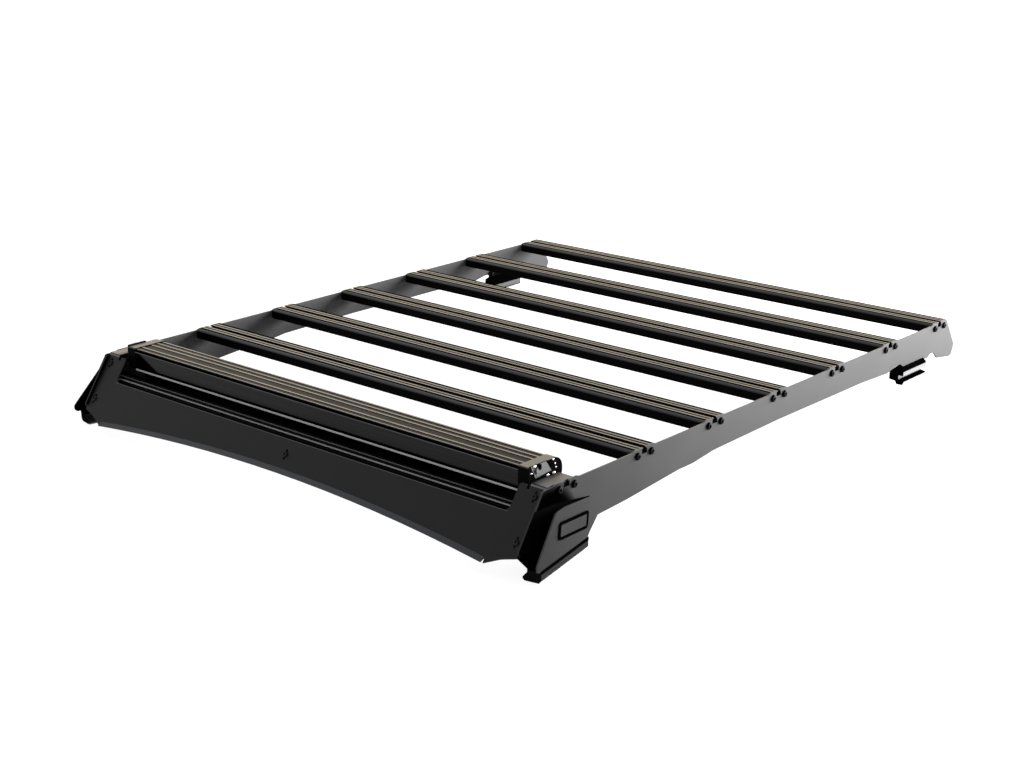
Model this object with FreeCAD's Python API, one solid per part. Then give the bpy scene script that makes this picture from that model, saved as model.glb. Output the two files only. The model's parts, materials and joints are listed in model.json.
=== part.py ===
import FreeCAD, Part
import math
import os

# Flat platform roof rack: two side panels, six slotted cross slats, a front
# wind fairing with a light bar in its notch, and four clamp feet.
# Millimetres. +X is the right-hand side, -Y the front, +Z up. While it is being
# built, y = 0 is the middle of the slat rows and z = 0 the top edge of the side
# panels. At the end everything is moved so that the origin is the middle of
# the footprint, on the ground. Depths are measured down from the panels' top
# edge. "Ahead" is towards the front and "behind" towards the rear.

# Tray
TRAY_WIDTH = 1255.0
PANEL_T = 3.0
SLAT_COUNT = 6
SLAT_PITCH = 227.5

# Slat section
SLAT_WIDTH = 76.0
SLAT_HEIGHT = 21.5
SLAT_PROUD = 3.0
SLAT_WALL = 2.5
SLAT_SHOULDER_W = 8.0
SLAT_SHOULDER_H = 4.7
SLOT_MOUTH = 9.0
SLOT_CHANNEL = 16.0
SLOT_LIP = 2.4
SLOT_DEPTH = 12.4
RIB_GROOVE_W = 2.6
RIB_GROOVE_DEPTH = 1.4
RIB_GROOVE_IN = 13.0
RIB_GROOVE_OUT = 23.6

# Bolt holes at the ends of a slat
BOLT_D = 8.0
BOLT_SPACING = 41.8
BOLT_BELOW_TOP = 13.0
HOLE_CLEARANCE = 0.4
PORT_WALL = 2.6
PORT_CLEARANCE = 0.2

# Side panel: tabs at the rows
TAB_FLAT = 29.0
TAB_FOOT = 38.0

# Side panel: tail, measured behind the last row
TAIL_TOP_BEHIND = 36.0
TAIL_TOP_DEPTH = 1.0
TAIL_TIP_BEHIND = 80.0
TAIL_TIP_DEPTH = 68.5
TAIL_TIP_R = 14.0
TAIL_HEEL_BEHIND = 67.0
TAIL_HEEL_DEPTH = 95.0
TAIL_HOOK_DEPTH = 85.0
TAIL_HOOK_R = 9.0
HOOK_NOTCH_AHEAD = 21.0
HOOK_NOTCH_W = 14.5
HOOK_NOTCH_DEPTH = 67.0
HOOK_NOTCH_R = 5.0

# Side panel: seat of the rear foot and the arch ahead of it
SEAT_DEPTH = 74.0
SEAT_FRONT_DEPTH = 69.0
SEAT_REAR_OVER = 21.0
SEAT_FRONT_IN = 15.0
FOOT_ARCH_DEPTH = 59.5
FOOT_ARCH_W = 16.0
FOOT_ARCH_AHEAD = 2.0
FOOT_ARCH_R = 8.0

# Side panel: lower edge, front of the arch
BELLY_REAR_DEPTH = 68.0
BELLY_REAR_AHEAD = 42.0
BELLY_DEPTH = 61.5
WAIST_DEPTH = 65.0
STEP_DEPTH = 73.0
STEP_AHEAD = 71.0
STEP_BEHIND = 112.0
SHOULDER_DEPTH = 86.4
SHOULDER_AHEAD = 55.0
KNEE_DEPTH = 90.0
KNEE_AHEAD = 137.0
CALF_DEPTH = 118.5

# Flap that is slit from the panel and flared over the front foot, measured
# ahead of its bend in its own plane
BEND_AHEAD = 162.0
FLARE_DEG = 11.7
SLIT_W = 2.0
SLIT_REAR_DEPTH = 45.5
SLIT_TURN_AHEAD = 97.0
SLIT_TURN_DEPTH = 32.0
SLIT_TURN_R = 40.0
FLAP_TOP_AHEAD = 127.0
FLAP_TOP_R = 9.0
FLAP_CHIN_AHEAD = 196.0
FLAP_CHIN_DEPTH = 111.5
FLAP_CHIN_R = 10.0
FLAP_FOOT_R = 9.0
FLAP_HEEL_AHEAD = 8.0
FLAP_HEEL_R = 4.0

# Bare badge plate on the flap
BADGE_LENGTH = 108.0
BADGE_HEIGHT = 29.0
BADGE_T = 1.6
BADGE_R = 5.0
BADGE_AHEAD = 63.5
BADGE_DEPTH = 80.5
BADGE_TILT_DEG = 7.4

# Wind fairing
FAIRING_T = 3.0
FAIRING_LEAN_DEG = 35.0
FAIRING_AHEAD = 51.9
FAIRING_TOP_DEPTH = 1.0
NOTCH_SIDE_W = 62.5
NOTCH_DEPTH = 47.0
NOTCH_R = 13.0
NOTCH_TOP_R = 6.0
ARCH_MID_DEPTH = 105.0
ARCH_SAG = 25.0
ARCH_END_IN = 73.5
LIP_H = 11.0
LIP_KICK = 6.0
LIP_OVERLAP = 0.6
LIP_END_GAP = 1.0
WING_DEPTH = 108.0
WING_IN = 39.5
WING_DROP = 10.0
WING_R = 60.0
TOP_FLANGE_W = 35.0
TOP_FLANGE_L = 74.0
TOP_FLANGE_RISE = 2.5
BEND_RELIEF_W = 8.0
FLANGE_GAP = 0.4

# Front edge of the sides, ahead of the fairing's face
NOSE_AHEAD = 10.0
NOSE_TAPER = 0.04
NOSE_R = 6.0

# Front corner plate behind the flap, and the fairing's bolts
CORNER_T = 3.0
CORNER_R = 12.0
CORNER_REAR_AHEAD = 5.0
CORNER_REAR_DEPTH = 41.0
CORNER_HEEL_AHEAD = 40.0
CORNER_FLANGE_W = 34.0
CORNER_FLANGE_GAP = 2.0
CORNER_BOTTOM = 104.0
FAIRING_BOLT_D = 6.0
FAIRING_BOLT_IN = 20.0
FAIRING_BOLT_TOP = 16.0
FAIRING_BOLT_LOW = 86.0
FAIRING_SLOT_L = 22.0
CENTRE_BOLT_DEPTH = 72.0

# Lower front cross slat, and the stay from it to the fairing
NOSE_SLAT_AHEAD = 30.5
NOSE_SLAT_DEPTH = 46.0
STAY_W = 36.0
STAY_T = 3.0
STAY_PAD = 30.0
STAY_FOOT_L = 60.0

# Light bar
BAR_GAP = 54.5
BAR_CAP_W = 24.0
BAR_AHEAD = 39.5
BAR_LENGTH_Y = 92.0
BAR_TOP = 22.0
BAR_BOTTOM = 25.0
BAR_BACK_R = 22.0
BAR_EDGE_R = 4.0
BAR_BROW = 2.0
FIN_W = 5.0
FIN_DEPTH = 2.5
FIN_BACKS = [21.0, 45.5, 61.0]
FIN_LAST = 71.0
LENS_T = 4.0
LENS_INSET = 0.6
LENS_TOP_IN = 8.0
LENS_BOTTOM_IN = 5.0
CAP_PROUD = 1.2
CAP_BOSS_D = 30.0
CAP_BOSS_T = 2.0
CAP_BOSS_BACK = 20.0
CAP_BOSS_UP = 2.0
BAR_BRACKET_T = 3.0
BAR_BRACKET_L = 62.0
BAR_BRACKET_TOP = 26.0
BAR_BRACKET_BASE = 22.0
BAR_BRACKET_LEAN = 18.0
BAR_PIVOT_D = 8.0
BAR_PIVOT_BACK = 20.0
BAR_PIVOT_RISE = 15.0
BAR_PIVOT_HEAD_D = 13.0
BAR_PIVOT_HEAD_H = 4.0

# Feet: what front and rear share
GASKET_T = 2.5
PAD_T = 2.5
PAD_CHAMFER = 4.0

# Front feet, measured inward from the flap's outer face
FRONT_RAIL_W = 37.5
FRONT_RAIL_H = 20.5
FRONT_RAIL_LAND = 28.5
FRONT_RAIL_SIDE_H = 15.0
FRONT_RAIL_LIP_H = 13.5
FRONT_RAIL_BEVEL = 5.5
FRONT_RAIL_LIP_BEVEL = 3.5
FRONT_FOOT_LENGTH = 178.0
FRONT_FOOT_HEEL = 3.0
FLAP_FOOT_DEPTH = 125.5
FOOT_BRACKET_T = 4.0
FOOT_HORN_IN = 47.5
FOOT_HORN_RISE = 13.5
FOOT_WEB_IN = 10.0
FOOT_WEB_DEPTH = 54.0
FOOT_WEB_R = 8.0
FOOT_WEB_CLEAR = 3.0

# Rear feet
REAR_FOOT_AHEAD = 122.0
REAR_FOOT_LENGTH = 105.0
REAR_CROWN_DEPTH = 66.5
REAR_CROWN_W = 7.0
REAR_FOOT_OUT = 9.0
REAR_FOOT_W = 35.5
REAR_EAVE_DEPTH = 75.0
REAR_INNER_EAVE_DEPTH = 82.5
REAR_SIDE_DEPTH = 87.0
REAR_NECK_W = 12.5
REAR_LIP_DEPTH = 97.0
REAR_RAIL_BOTTOM = 101.5
REAR_PAD_T = 8.5
REAR_BRACKET_T = 4.0
REAR_BRACKET_TOP = 50.0
REAR_BRACKET_L = 104.0
REAR_BRACKET_R = 6.0
SEAT_CLEARANCE = 0.3

# Values that follow
HALF = TRAY_WIDTH / 2.0
PANEL_IN = HALF - PANEL_T
CORNER_IN = PANEL_IN - CORNER_T
LEAN = math.radians(FAIRING_LEAN_DEG)
FIRST_SLAT_Y = -SLAT_PITCH * 2.0
SLAT_YS = [FIRST_SLAT_Y + SLAT_PITCH * i for i in range(SLAT_COUNT)]
LAST_SLAT_Y = SLAT_YS[-1]
NOSE_ROW_Y = FIRST_SLAT_Y - SLAT_PITCH
NOSE_SLAT_Y = NOSE_ROW_Y - NOSE_SLAT_AHEAD
BEND_Y = FIRST_SLAT_Y - BEND_AHEAD
FAIRING_TOP_Y = NOSE_ROW_Y - FAIRING_AHEAD
FAIRING_BACK = FAIRING_T / math.cos(LEAN)
FAIRING_OUT = FreeCAD.Vector(0, -math.cos(LEAN), math.sin(LEAN))
NOTCH_HALF_W = HALF - NOTCH_SIDE_W
ARCH_HALF_W = HALF - ARCH_END_IN
FAIRING_SIDE = CORNER_IN - FLANGE_GAP
FAIRING_BOLT_X = HALF - FAIRING_BOLT_IN
BAR_CAP_X = HALF - BAR_GAP
BAR_HALF_W = BAR_CAP_X - BAR_CAP_W
BAR_FRONT_Y = NOSE_ROW_Y - BAR_AHEAD
BAR_BACK_Y = BAR_FRONT_Y + BAR_LENGTH_Y
BAR_PIVOT_Y = BAR_FRONT_Y + BAR_PIVOT_BACK
BRACKET_TOP_Z = TOP_FLANGE_RISE - FAIRING_T - FLANGE_GAP
BRACKET_LOW_Z = -BAR_BRACKET_BASE
REAR_FOOT_Y = LAST_SLAT_Y - REAR_FOOT_AHEAD
REAR_FOOT_FRONT = REAR_FOOT_Y - REAR_FOOT_LENGTH / 2.0
REAR_FOOT_REAR = REAR_FOOT_Y + REAR_FOOT_LENGTH / 2.0
TO_RIGHT = FreeCAD.Vector(1, 0, 0)


def vec_yz(x):
    """Places a (y, z) outline in the plane at this x."""
    return lambda u, v: FreeCAD.Vector(x, u, v)


def vec_xz(y):
    """Places an (x, z) outline in the plane at this y."""
    return lambda u, v: FreeCAD.Vector(u, y, v)


def rounded_wire(corners, place):
    """A closed wire through (u, v, radius) corners, each one rounded by an arc."""
    count = len(corners)
    starts = []
    ends = []
    middles = []
    for i, (u, v, radius) in enumerate(corners):
        here = FreeCAD.Vector(u, v, 0)
        before = FreeCAD.Vector(corners[i - 1][0], corners[i - 1][1], 0) - here
        after = FreeCAD.Vector(corners[(i + 1) % count][0], corners[(i + 1) % count][1], 0) - here
        before.normalize()
        after.normalize()
        half = before.getAngle(after) / 2.0
        if radius <= 0 or half > math.radians(89.5):
            starts.append(here)
            ends.append(here)
            middles.append(None)
            continue
        cut = radius / math.tan(half)
        inward = before + after
        inward.normalize()
        starts.append(here + before * cut)
        ends.append(here + after * cut)
        middles.append(here + inward * (radius / math.sin(half) - radius))
    edges = []
    for i in range(count):
        if middles[i] is not None:
            arc = [place(p.x, p.y) for p in (starts[i], middles[i], ends[i])]
            edges.append(Part.Arc(*arc).toShape())
        run_from = ends[i]
        run_to = starts[(i + 1) % count]
        if (run_to - run_from).Length > 1e-6:
            edges.append(Part.makeLine(place(run_from.x, run_from.y), place(run_to.x, run_to.y)))
    return Part.Wire(edges)


def plate(corners, place, thickness):
    """A flat plate: a rounded outline pushed along a vector."""
    return Part.Face(rounded_wire(corners, place)).extrude(thickness)


def bar(points, place, run):
    """A bar with sharp corners: an outline of (u, v) points pushed along a vector."""
    closed = [place(u, v) for (u, v) in points + points[:1]]
    return Part.Face(Part.makePolygon(closed)).extrude(run)


def box(x0, x1, y0, y1, z0, z1):
    return Part.makeBox(x1 - x0, y1 - y0, z1 - z0, FreeCAD.Vector(x0, y0, z0))


def rod(x, y, z, direction, length, diameter):
    return Part.makeCylinder(diameter / 2.0, length, FreeCAD.Vector(x, y, z), direction)


def mirrored(shape):
    return shape.mirror(FreeCAD.Vector(0, 0, 0), FreeCAD.Vector(1, 0, 0))


def fairing_y(z):
    """Outer face of the fairing at this height."""
    return FAIRING_TOP_Y + z * math.tan(LEAN)


def fairing_point(x, s, n):
    """A point s down the fairing from the panel's top level and n out from its face."""
    y = FAIRING_TOP_Y - s * math.sin(LEAN) - n * math.cos(LEAN)
    z = -s * math.cos(LEAN) + n * math.sin(LEAN)
    return FreeCAD.Vector(x, y, z)


def nose_y(z):
    """Front edge of the sides at a height, a little ahead of the fairing's face."""
    return fairing_y(z) - NOSE_AHEAD - NOSE_TAPER * z


def down_slope(depth):
    """Distance down the fairing's face to a depth below the panel's top edge."""
    return depth / math.cos(LEAN)


def flared(shape):
    """Turns a piece built in the panel's plane outward about the flap's bend."""
    turned = shape.copy()
    turned.rotate(FreeCAD.Vector(PANEL_IN, BEND_Y, 0), FreeCAD.Vector(0, 0, 1), FLARE_DEG)
    return turned


def slat_outline(y, top):
    """The slat's outer outline in (y, z): T-slot, fine grooves, sloped shoulders, flat underside."""
    edge = SLAT_WIDTH / 2.0
    half = [
        (SLOT_CHANNEL / 2.0, top - SLOT_DEPTH),
        (SLOT_CHANNEL / 2.0, top - SLOT_LIP),
        (SLOT_MOUTH / 2.0, top - SLOT_LIP),
        (SLOT_MOUTH / 2.0, top),
    ]
    for at in (RIB_GROOVE_IN, RIB_GROOVE_OUT):
        half.append((at - RIB_GROOVE_W / 2.0, top))
        half.append((at - RIB_GROOVE_W / 2.0, top - RIB_GROOVE_DEPTH))
        half.append((at + RIB_GROOVE_W / 2.0, top - RIB_GROOVE_DEPTH))
        half.append((at + RIB_GROOVE_W / 2.0, top))
    half.append((edge - SLAT_SHOULDER_W, top))
    half.append((edge, top - SLAT_SHOULDER_H))
    half.append((edge, top - SLAT_HEIGHT))
    return [(y + u, v) for (u, v) in half] + [(y - u, v) for (u, v) in reversed(half)]


def slat(y, top, length):
    """One extruded cross slat, hollow either side of its T-slot, with a port for each end bolt."""
    start = -length / 2.0
    run = TO_RIGHT * length
    body = bar(slat_outline(y, top), vec_yz(start), run)
    ceiling = top - SLAT_WALL - RIB_GROOVE_DEPTH
    floor = top - SLAT_HEIGHT + SLAT_WALL
    inner = SLOT_CHANNEL / 2.0 + SLAT_WALL
    outer = SLAT_WIDTH / 2.0 - SLAT_WALL
    bolt_z = top - BOLT_BELOW_TOP
    port_half = BOLT_D / 2.0 + PORT_WALL
    for side in (-1.0, 1.0):
        port_y = y + side * BOLT_SPACING / 2.0
        hollow = bar([(y + side * inner, floor), (y + side * inner, ceiling),
                      (y + side * (outer - SLAT_SHOULDER_W + SLAT_WALL), ceiling),
                      (y + side * outer, ceiling - SLAT_SHOULDER_H + RIB_GROOVE_DEPTH),
                      (y + side * outer, floor)], vec_yz(start), run)
        port = box(start, start + length, port_y - port_half, port_y + port_half,
                   floor - SLAT_WALL / 2.0, bolt_z + port_half)
        body = body.cut(hollow.cut(port))
        body = body.cut(rod(start, port_y, bolt_z, run, length, BOLT_D + PORT_CLEARANCE))
    return body.removeSplitter()


def row_holes(y, top, x0, x1):
    """Clearance holes for the two end bolts of a row, through sheet from x0 to x1."""
    holes = []
    for side in (-1.0, 1.0):
        holes.append(rod(x0, y + side * BOLT_SPACING / 2.0, top - BOLT_BELOW_TOP, TO_RIGHT, x1 - x0,
                         BOLT_D + HOLE_CLEARANCE))
    return holes


def slot_notch(y, x0, x1):
    """The T-slot's own shape, cut through sheet so that a nut slides in from the side."""
    wide = SLOT_CHANNEL / 2.0
    mouth = SLOT_MOUTH / 2.0
    floor = SLAT_PROUD - SLOT_DEPTH
    ledge = SLAT_PROUD - SLOT_LIP
    over = SLAT_PROUD + PANEL_T
    return bar([(y - wide, floor), (y - wide, ledge), (y - mouth, ledge), (y - mouth, over),
                (y + mouth, over), (y + mouth, ledge), (y + wide, ledge), (y + wide, floor)],
               vec_yz(x0), TO_RIGHT * (x1 - x0))


def tail_outline():
    """Corners of the panel's outline from its top rear corner round to the arch ahead of the rear foot."""
    notch_rear = LAST_SLAT_Y - HOOK_NOTCH_AHEAD
    notch_front = notch_rear - HOOK_NOTCH_W
    arch_rear = REAR_FOOT_FRONT - FOOT_ARCH_AHEAD
    arch_front = arch_rear - FOOT_ARCH_W
    return [
        (LAST_SLAT_Y + TAIL_TOP_BEHIND, -TAIL_TOP_DEPTH, TAIL_HOOK_R),
        (LAST_SLAT_Y + TAIL_TIP_BEHIND, -TAIL_TIP_DEPTH, TAIL_TIP_R),
        (LAST_SLAT_Y + TAIL_HEEL_BEHIND, -TAIL_HEEL_DEPTH, TAIL_TIP_R),
        (LAST_SLAT_Y, -TAIL_HOOK_DEPTH, TAIL_HOOK_R),
        (notch_rear, -HOOK_NOTCH_DEPTH, HOOK_NOTCH_R),
        (notch_front, -HOOK_NOTCH_DEPTH, HOOK_NOTCH_R),
        (REAR_FOOT_REAR + SEAT_REAR_OVER, -SEAT_DEPTH, HOOK_NOTCH_R),
        (REAR_FOOT_FRONT + SEAT_FRONT_IN, -SEAT_FRONT_DEPTH, HOOK_NOTCH_R),
        (arch_rear, -FOOT_ARCH_DEPTH, FOOT_ARCH_R),
        (arch_front, -FOOT_ARCH_DEPTH, FOOT_ARCH_R),
        (arch_front - BELLY_REAR_AHEAD, -BELLY_REAR_DEPTH, 0.0),
    ]


def side_panel():
    """The right-hand side panel, cut from sheet, with its flap flared outward at the front."""
    outline = [(nose_y(0.0), 0.0, NOSE_R)]
    for y in [NOSE_ROW_Y] + SLAT_YS:
        outline += [(y - TAB_FOOT, 0.0, 0.0), (y - TAB_FLAT, SLAT_PROUD, 0.0),
                    (y + TAB_FLAT, SLAT_PROUD, 0.0), (y + TAB_FOOT, 0.0, 0.0)]
    outline.pop()
    outline += tail_outline()
    outline += [
        (SLAT_YS[3] + SLAT_PITCH / 2.0, -(BELLY_DEPTH + WAIST_DEPTH) / 2.0, 0.0),
        (SLAT_YS[2], -BELLY_DEPTH, 0.0),
        (SLAT_YS[1], -WAIST_DEPTH, 0.0),
        (SLAT_YS[1] - STEP_AHEAD, -STEP_DEPTH, 0.0),
        (SLAT_YS[0] + STEP_BEHIND, -STEP_DEPTH, 0.0),
        (SLAT_YS[0] - SHOULDER_AHEAD, -SHOULDER_DEPTH, 0.0),
        (FIRST_SLAT_Y - KNEE_AHEAD, -KNEE_DEPTH, 0.0),
        (BEND_Y, -CALF_DEPTH, 0.0),
        (BEND_Y, -SLIT_REAR_DEPTH, 0.0),
        (BEND_Y - SLIT_TURN_AHEAD, -SLIT_TURN_DEPTH, SLIT_TURN_R),
        (nose_y(-SLIT_TURN_DEPTH), -SLIT_TURN_DEPTH, 0.0),
    ]
    body = plate(outline, vec_yz(PANEL_IN), TO_RIGHT * PANEL_T)
    body = body.fuse(flap())
    body = body.fuse(bend_wedge(-CALF_DEPTH, -SLIT_REAR_DEPTH - SLIT_W))
    for y in [NOSE_ROW_Y] + SLAT_YS:
        for hole in row_holes(y, SLAT_PROUD, PANEL_IN, HALF):
            body = body.cut(hole)
        body = body.cut(slot_notch(y, PANEL_IN, HALF))
    return body.removeSplitter()


def flap():
    """The flap below the slit, flared outward."""
    outline = [
        (BEND_Y, -CALF_DEPTH, 0.0),
        (BEND_Y, -SLIT_REAR_DEPTH - SLIT_W, 0.0),
        (BEND_Y - SLIT_TURN_AHEAD, -SLIT_TURN_DEPTH - SLIT_W, SLIT_TURN_R),
        (BEND_Y - FLAP_TOP_AHEAD, -SLIT_TURN_DEPTH - SLIT_W, FLAP_TOP_R),
        (BEND_Y - FLAP_CHIN_AHEAD, -FLAP_CHIN_DEPTH, FLAP_CHIN_R),
        (BEND_Y - FLAP_CHIN_AHEAD, -FLAP_FOOT_DEPTH, FLAP_FOOT_R),
        (BEND_Y - FLAP_HEEL_AHEAD, -FLAP_FOOT_DEPTH, FLAP_HEEL_R),
    ]
    return flared(plate(outline, vec_yz(PANEL_IN), TO_RIGHT * PANEL_T))


def bend_wedge(z0, z1):
    """The outside of the flap's bend, a wedge turned about the bend's inner line."""
    face = Part.Face(Part.makePolygon([
        FreeCAD.Vector(PANEL_IN, BEND_Y, z0),
        FreeCAD.Vector(HALF, BEND_Y, z0),
        FreeCAD.Vector(HALF, BEND_Y, z1),
        FreeCAD.Vector(PANEL_IN, BEND_Y, z1),
        FreeCAD.Vector(PANEL_IN, BEND_Y, z0),
    ]))
    return face.revolve(FreeCAD.Vector(PANEL_IN, BEND_Y, 0), FreeCAD.Vector(0, 0, 1), FLARE_DEG)


def fairing_blank():
    """The fairing's flat sheet with its notch, wings and top corners, before the arch is cut."""
    top = down_slope(FAIRING_TOP_DEPTH)
    wing = down_slope(WING_DEPTH)
    arch_end = down_slope(ARCH_MID_DEPTH + ARCH_SAG)
    flange_out = PANEL_IN - FLANGE_GAP
    flange_in = flange_out - TOP_FLANGE_W
    bend = -down_slope(TOP_FLANGE_RISE) - FAIRING_T * math.tan(LEAN)
    relief = flange_in - BEND_RELIEF_W
    relief_end = top + BEND_RELIEF_W
    right = [(NOTCH_HALF_W, down_slope(NOTCH_DEPTH), NOTCH_R), (NOTCH_HALF_W, top, NOTCH_TOP_R),
             (relief, top, 0.0), (relief, relief_end, 0.0), (flange_in, relief_end, 0.0),
             (flange_in, bend, 0.0), (flange_out, bend, 0.0), (flange_out, top, 0.0),
             (FAIRING_SIDE, top, 0.0), (FAIRING_SIDE, wing, 0.0),
             (HALF - WING_IN, wing + WING_DROP, WING_R), (ARCH_HALF_W, arch_end, 0.0)]
    blank = right + [(-u, v, r) for (u, v, r) in reversed(right)]
    return plate(blank, lambda u, v: fairing_point(u, v, 0.0), FAIRING_OUT * -FAIRING_T)


def top_flange(side):
    """Flange bent back level over one end of the fairing."""
    outer = side * (PANEL_IN - FLANGE_GAP)
    inner = outer - side * TOP_FLANGE_W
    low = TOP_FLANGE_RISE - FAIRING_T
    rear = fairing_y(0.0) + TOP_FLANGE_L
    return bar([(fairing_y(low), low), (fairing_y(TOP_FLANGE_RISE), TOP_FLANGE_RISE),
                (rear, TOP_FLANGE_RISE), (rear, low)],
               vec_yz(min(inner, outer)), TO_RIGHT * TOP_FLANGE_W)


def fairing_slot(x, depth):
    """An upright slotted hole through the fairing, for height adjustment."""
    radius = (FAIRING_BOLT_D + HOLE_CLEARANCE) / 2.0
    reach = FAIRING_SLOT_L / 2.0 - radius
    s = down_slope(depth)
    through = FAIRING_OUT * -(3.0 * FAIRING_T)
    outline = [(x - radius, s - reach), (x + radius, s - reach), (x + radius, s + reach), (x - radius, s + reach)]
    slot = bar(outline, lambda u, v: fairing_point(u, v, FAIRING_T), through)
    for end in (s - reach, s + reach):
        at = fairing_point(x, end, FAIRING_T)
        slot = slot.fuse(rod(at.x, at.y, at.z, through, through.Length, 2.0 * radius))
    return slot.removeSplitter()


def wind_fairing():
    """Leaning front plate with a notch for the light bar, an arched lip and two top flanges."""
    arch_mid = down_slope(ARCH_MID_DEPTH) - LIP_H
    sag = down_slope(ARCH_SAG)
    radius = (ARCH_HALF_W ** 2 + sag ** 2) / (2.0 * sag)
    centre = fairing_point(0.0, arch_mid + radius, -2.0 * FAIRING_T)
    belly = Part.makeCylinder(radius, 3.0 * FAIRING_T, centre, FAIRING_OUT)
    reach = ARCH_HALF_W + LIP_END_GAP
    foot_y = fairing_y(-2.0 * ARCH_MID_DEPTH)
    body = fairing_blank().cut(belly.common(box(-reach, reach, foot_y, 0.0, -2.0 * ARCH_MID_DEPTH, 0.0)))
    # Lip along the arch, kicked forward
    half_angle = math.degrees(math.asin(ARCH_HALF_W / radius))
    edge = arch_mid + LIP_H
    root = arch_mid - LIP_OVERLAP
    lip_profile = Part.Face(Part.makePolygon([
        fairing_point(0.0, root, 0.0),
        fairing_point(0.0, edge, LIP_KICK),
        fairing_point(0.0, edge, LIP_KICK - FAIRING_T),
        fairing_point(0.0, root, -FAIRING_T),
        fairing_point(0.0, root, 0.0),
    ]))
    pivot = fairing_point(0.0, arch_mid + radius, 0.0)
    lip_profile.rotate(pivot, FAIRING_OUT, -half_angle)
    body = body.fuse(lip_profile.revolve(pivot, FAIRING_OUT, 2.0 * half_angle))
    # Nothing of the sheet stands above the flanges
    body = body.cut(box(-HALF, HALF, fairing_y(0.0) - TOP_FLANGE_L, fairing_y(0.0) + TOP_FLANGE_L,
                        TOP_FLANGE_RISE, TOP_FLANGE_RISE + TOP_FLANGE_W))
    for side in (-1.0, 1.0):
        body = body.fuse(top_flange(side))
        for depth in (FAIRING_BOLT_TOP, FAIRING_BOLT_LOW):
            body = body.cut(fairing_slot(side * FAIRING_BOLT_X, depth))
    body = body.cut(fairing_slot(0.0, CENTRE_BOLT_DEPTH))
    return body.removeSplitter()


def fairing_bolt_hole(x, depth):
    """Round hole square to the fairing, through what lies behind it."""
    at = fairing_point(x, down_slope(depth), 0.0)
    length = 4.0 * (FAIRING_T + CORNER_T)
    return rod(at.x, at.y, at.z, FAIRING_OUT * -1.0, length, FAIRING_BOLT_D + HOLE_CLEARANCE)


def corner_plate():
    """Upright plate behind the flap, with a leaning flange that the fairing bolts to.

    It is cut away round the light bar's bracket, and the lower front slat is welded to it.
    """
    top_z = TOP_FLANGE_RISE - FAIRING_T
    nose_z = -FAIRING_TOP_DEPTH - FAIRING_T * math.sin(LEAN) - FLANGE_GAP
    rear_y = BEND_Y - CORNER_REAR_AHEAD
    cut_y = BAR_FRONT_Y - FLANGE_GAP
    cut_z = BRACKET_LOW_Z - FLANGE_GAP
    outline = [(nose_y(nose_z), nose_z, NOSE_R), (cut_y, nose_z, 0.0), (cut_y, cut_z, 0.0),
               (NOSE_ROW_Y + TAB_FOOT, cut_z, 0.0),
               (rear_y, -CORNER_REAR_DEPTH, CORNER_R), (rear_y, -KNEE_DEPTH, CORNER_R),
               (rear_y - CORNER_HEEL_AHEAD, -CORNER_BOTTOM, CORNER_R),
               (nose_y(-CORNER_BOTTOM), -CORNER_BOTTOM, NOSE_R)]
    body = plate(outline, vec_yz(CORNER_IN), TO_RIGHT * CORNER_T)
    s0 = down_slope(-top_z) + CORNER_FLANGE_GAP
    s1 = down_slope(CORNER_BOTTOM)
    flange_in = PANEL_IN - CORNER_FLANGE_W
    leg = bar([(flange_in, s0), (PANEL_IN, s0), (PANEL_IN, s1), (flange_in, s1)],
              lambda u, v: fairing_point(u, v, -FAIRING_T), FAIRING_OUT * -CORNER_T)
    body = body.fuse(leg)
    for depth in (FAIRING_BOLT_TOP, FAIRING_BOLT_LOW):
        body = body.cut(fairing_bolt_hole(FAIRING_BOLT_X, depth))
    return body.removeSplitter()


def bar_outline(grow):
    """The light bar's section in (y, z): flat lens face, finned top, rounded back."""
    y0 = BAR_FRONT_Y - grow
    y1 = BAR_BACK_Y + grow
    top = BAR_TOP + grow
    low = -BAR_BOTTOM - grow
    return [(y0, low, BAR_EDGE_R), (y0, top - BAR_BROW, 0.0), (y0 + BAR_BROW, top, 0.0),
            (y1, top, BAR_BACK_R), (y1, low, BAR_BACK_R)]


def light_bar_housing():
    """Finned housing with a recess for the lens."""
    body = plate(bar_outline(0.0), vec_yz(-BAR_HALF_W), TO_RIGHT * (2.0 * BAR_HALF_W))
    fin_backs = [FIN_W] + FIN_BACKS
    for back, groove_end in zip(fin_backs, [b - FIN_W for b in FIN_BACKS] + [FIN_LAST]):
        body = body.cut(box(-BAR_HALF_W, BAR_HALF_W, BAR_FRONT_Y + back, BAR_FRONT_Y + groove_end,
                            BAR_TOP - FIN_DEPTH, BAR_TOP + FIN_DEPTH))
    return body.cut(box(-BAR_HALF_W, BAR_HALF_W, BAR_FRONT_Y - LENS_T, BAR_FRONT_Y + LENS_T,
                        -BAR_BOTTOM + LENS_BOTTOM_IN, BAR_TOP - LENS_TOP_IN))


def light_bar_lens():
    return box(-BAR_HALF_W, BAR_HALF_W, BAR_FRONT_Y + LENS_INSET, BAR_FRONT_Y + LENS_T,
               -BAR_BOTTOM + LENS_BOTTOM_IN, BAR_TOP - LENS_TOP_IN)


def light_bar_cap():
    """Right-hand end cap, a little proud of the housing all round, with a round boss at the back."""
    cap = plate(bar_outline(CAP_PROUD), vec_yz(BAR_HALF_W), TO_RIGHT * BAR_CAP_W)
    boss = rod(BAR_CAP_X, BAR_BACK_Y - CAP_BOSS_BACK, CAP_BOSS_UP, TO_RIGHT, CAP_BOSS_T, CAP_BOSS_D)
    return cap.fuse(boss)


def at_pivot(x0, x1, diameter):
    """A round stretch on the axis of the light bar's pivot bolt."""
    return rod(x0, BAR_PIVOT_Y, BAR_PIVOT_RISE, TO_RIGHT, x1 - x0, diameter)


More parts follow.
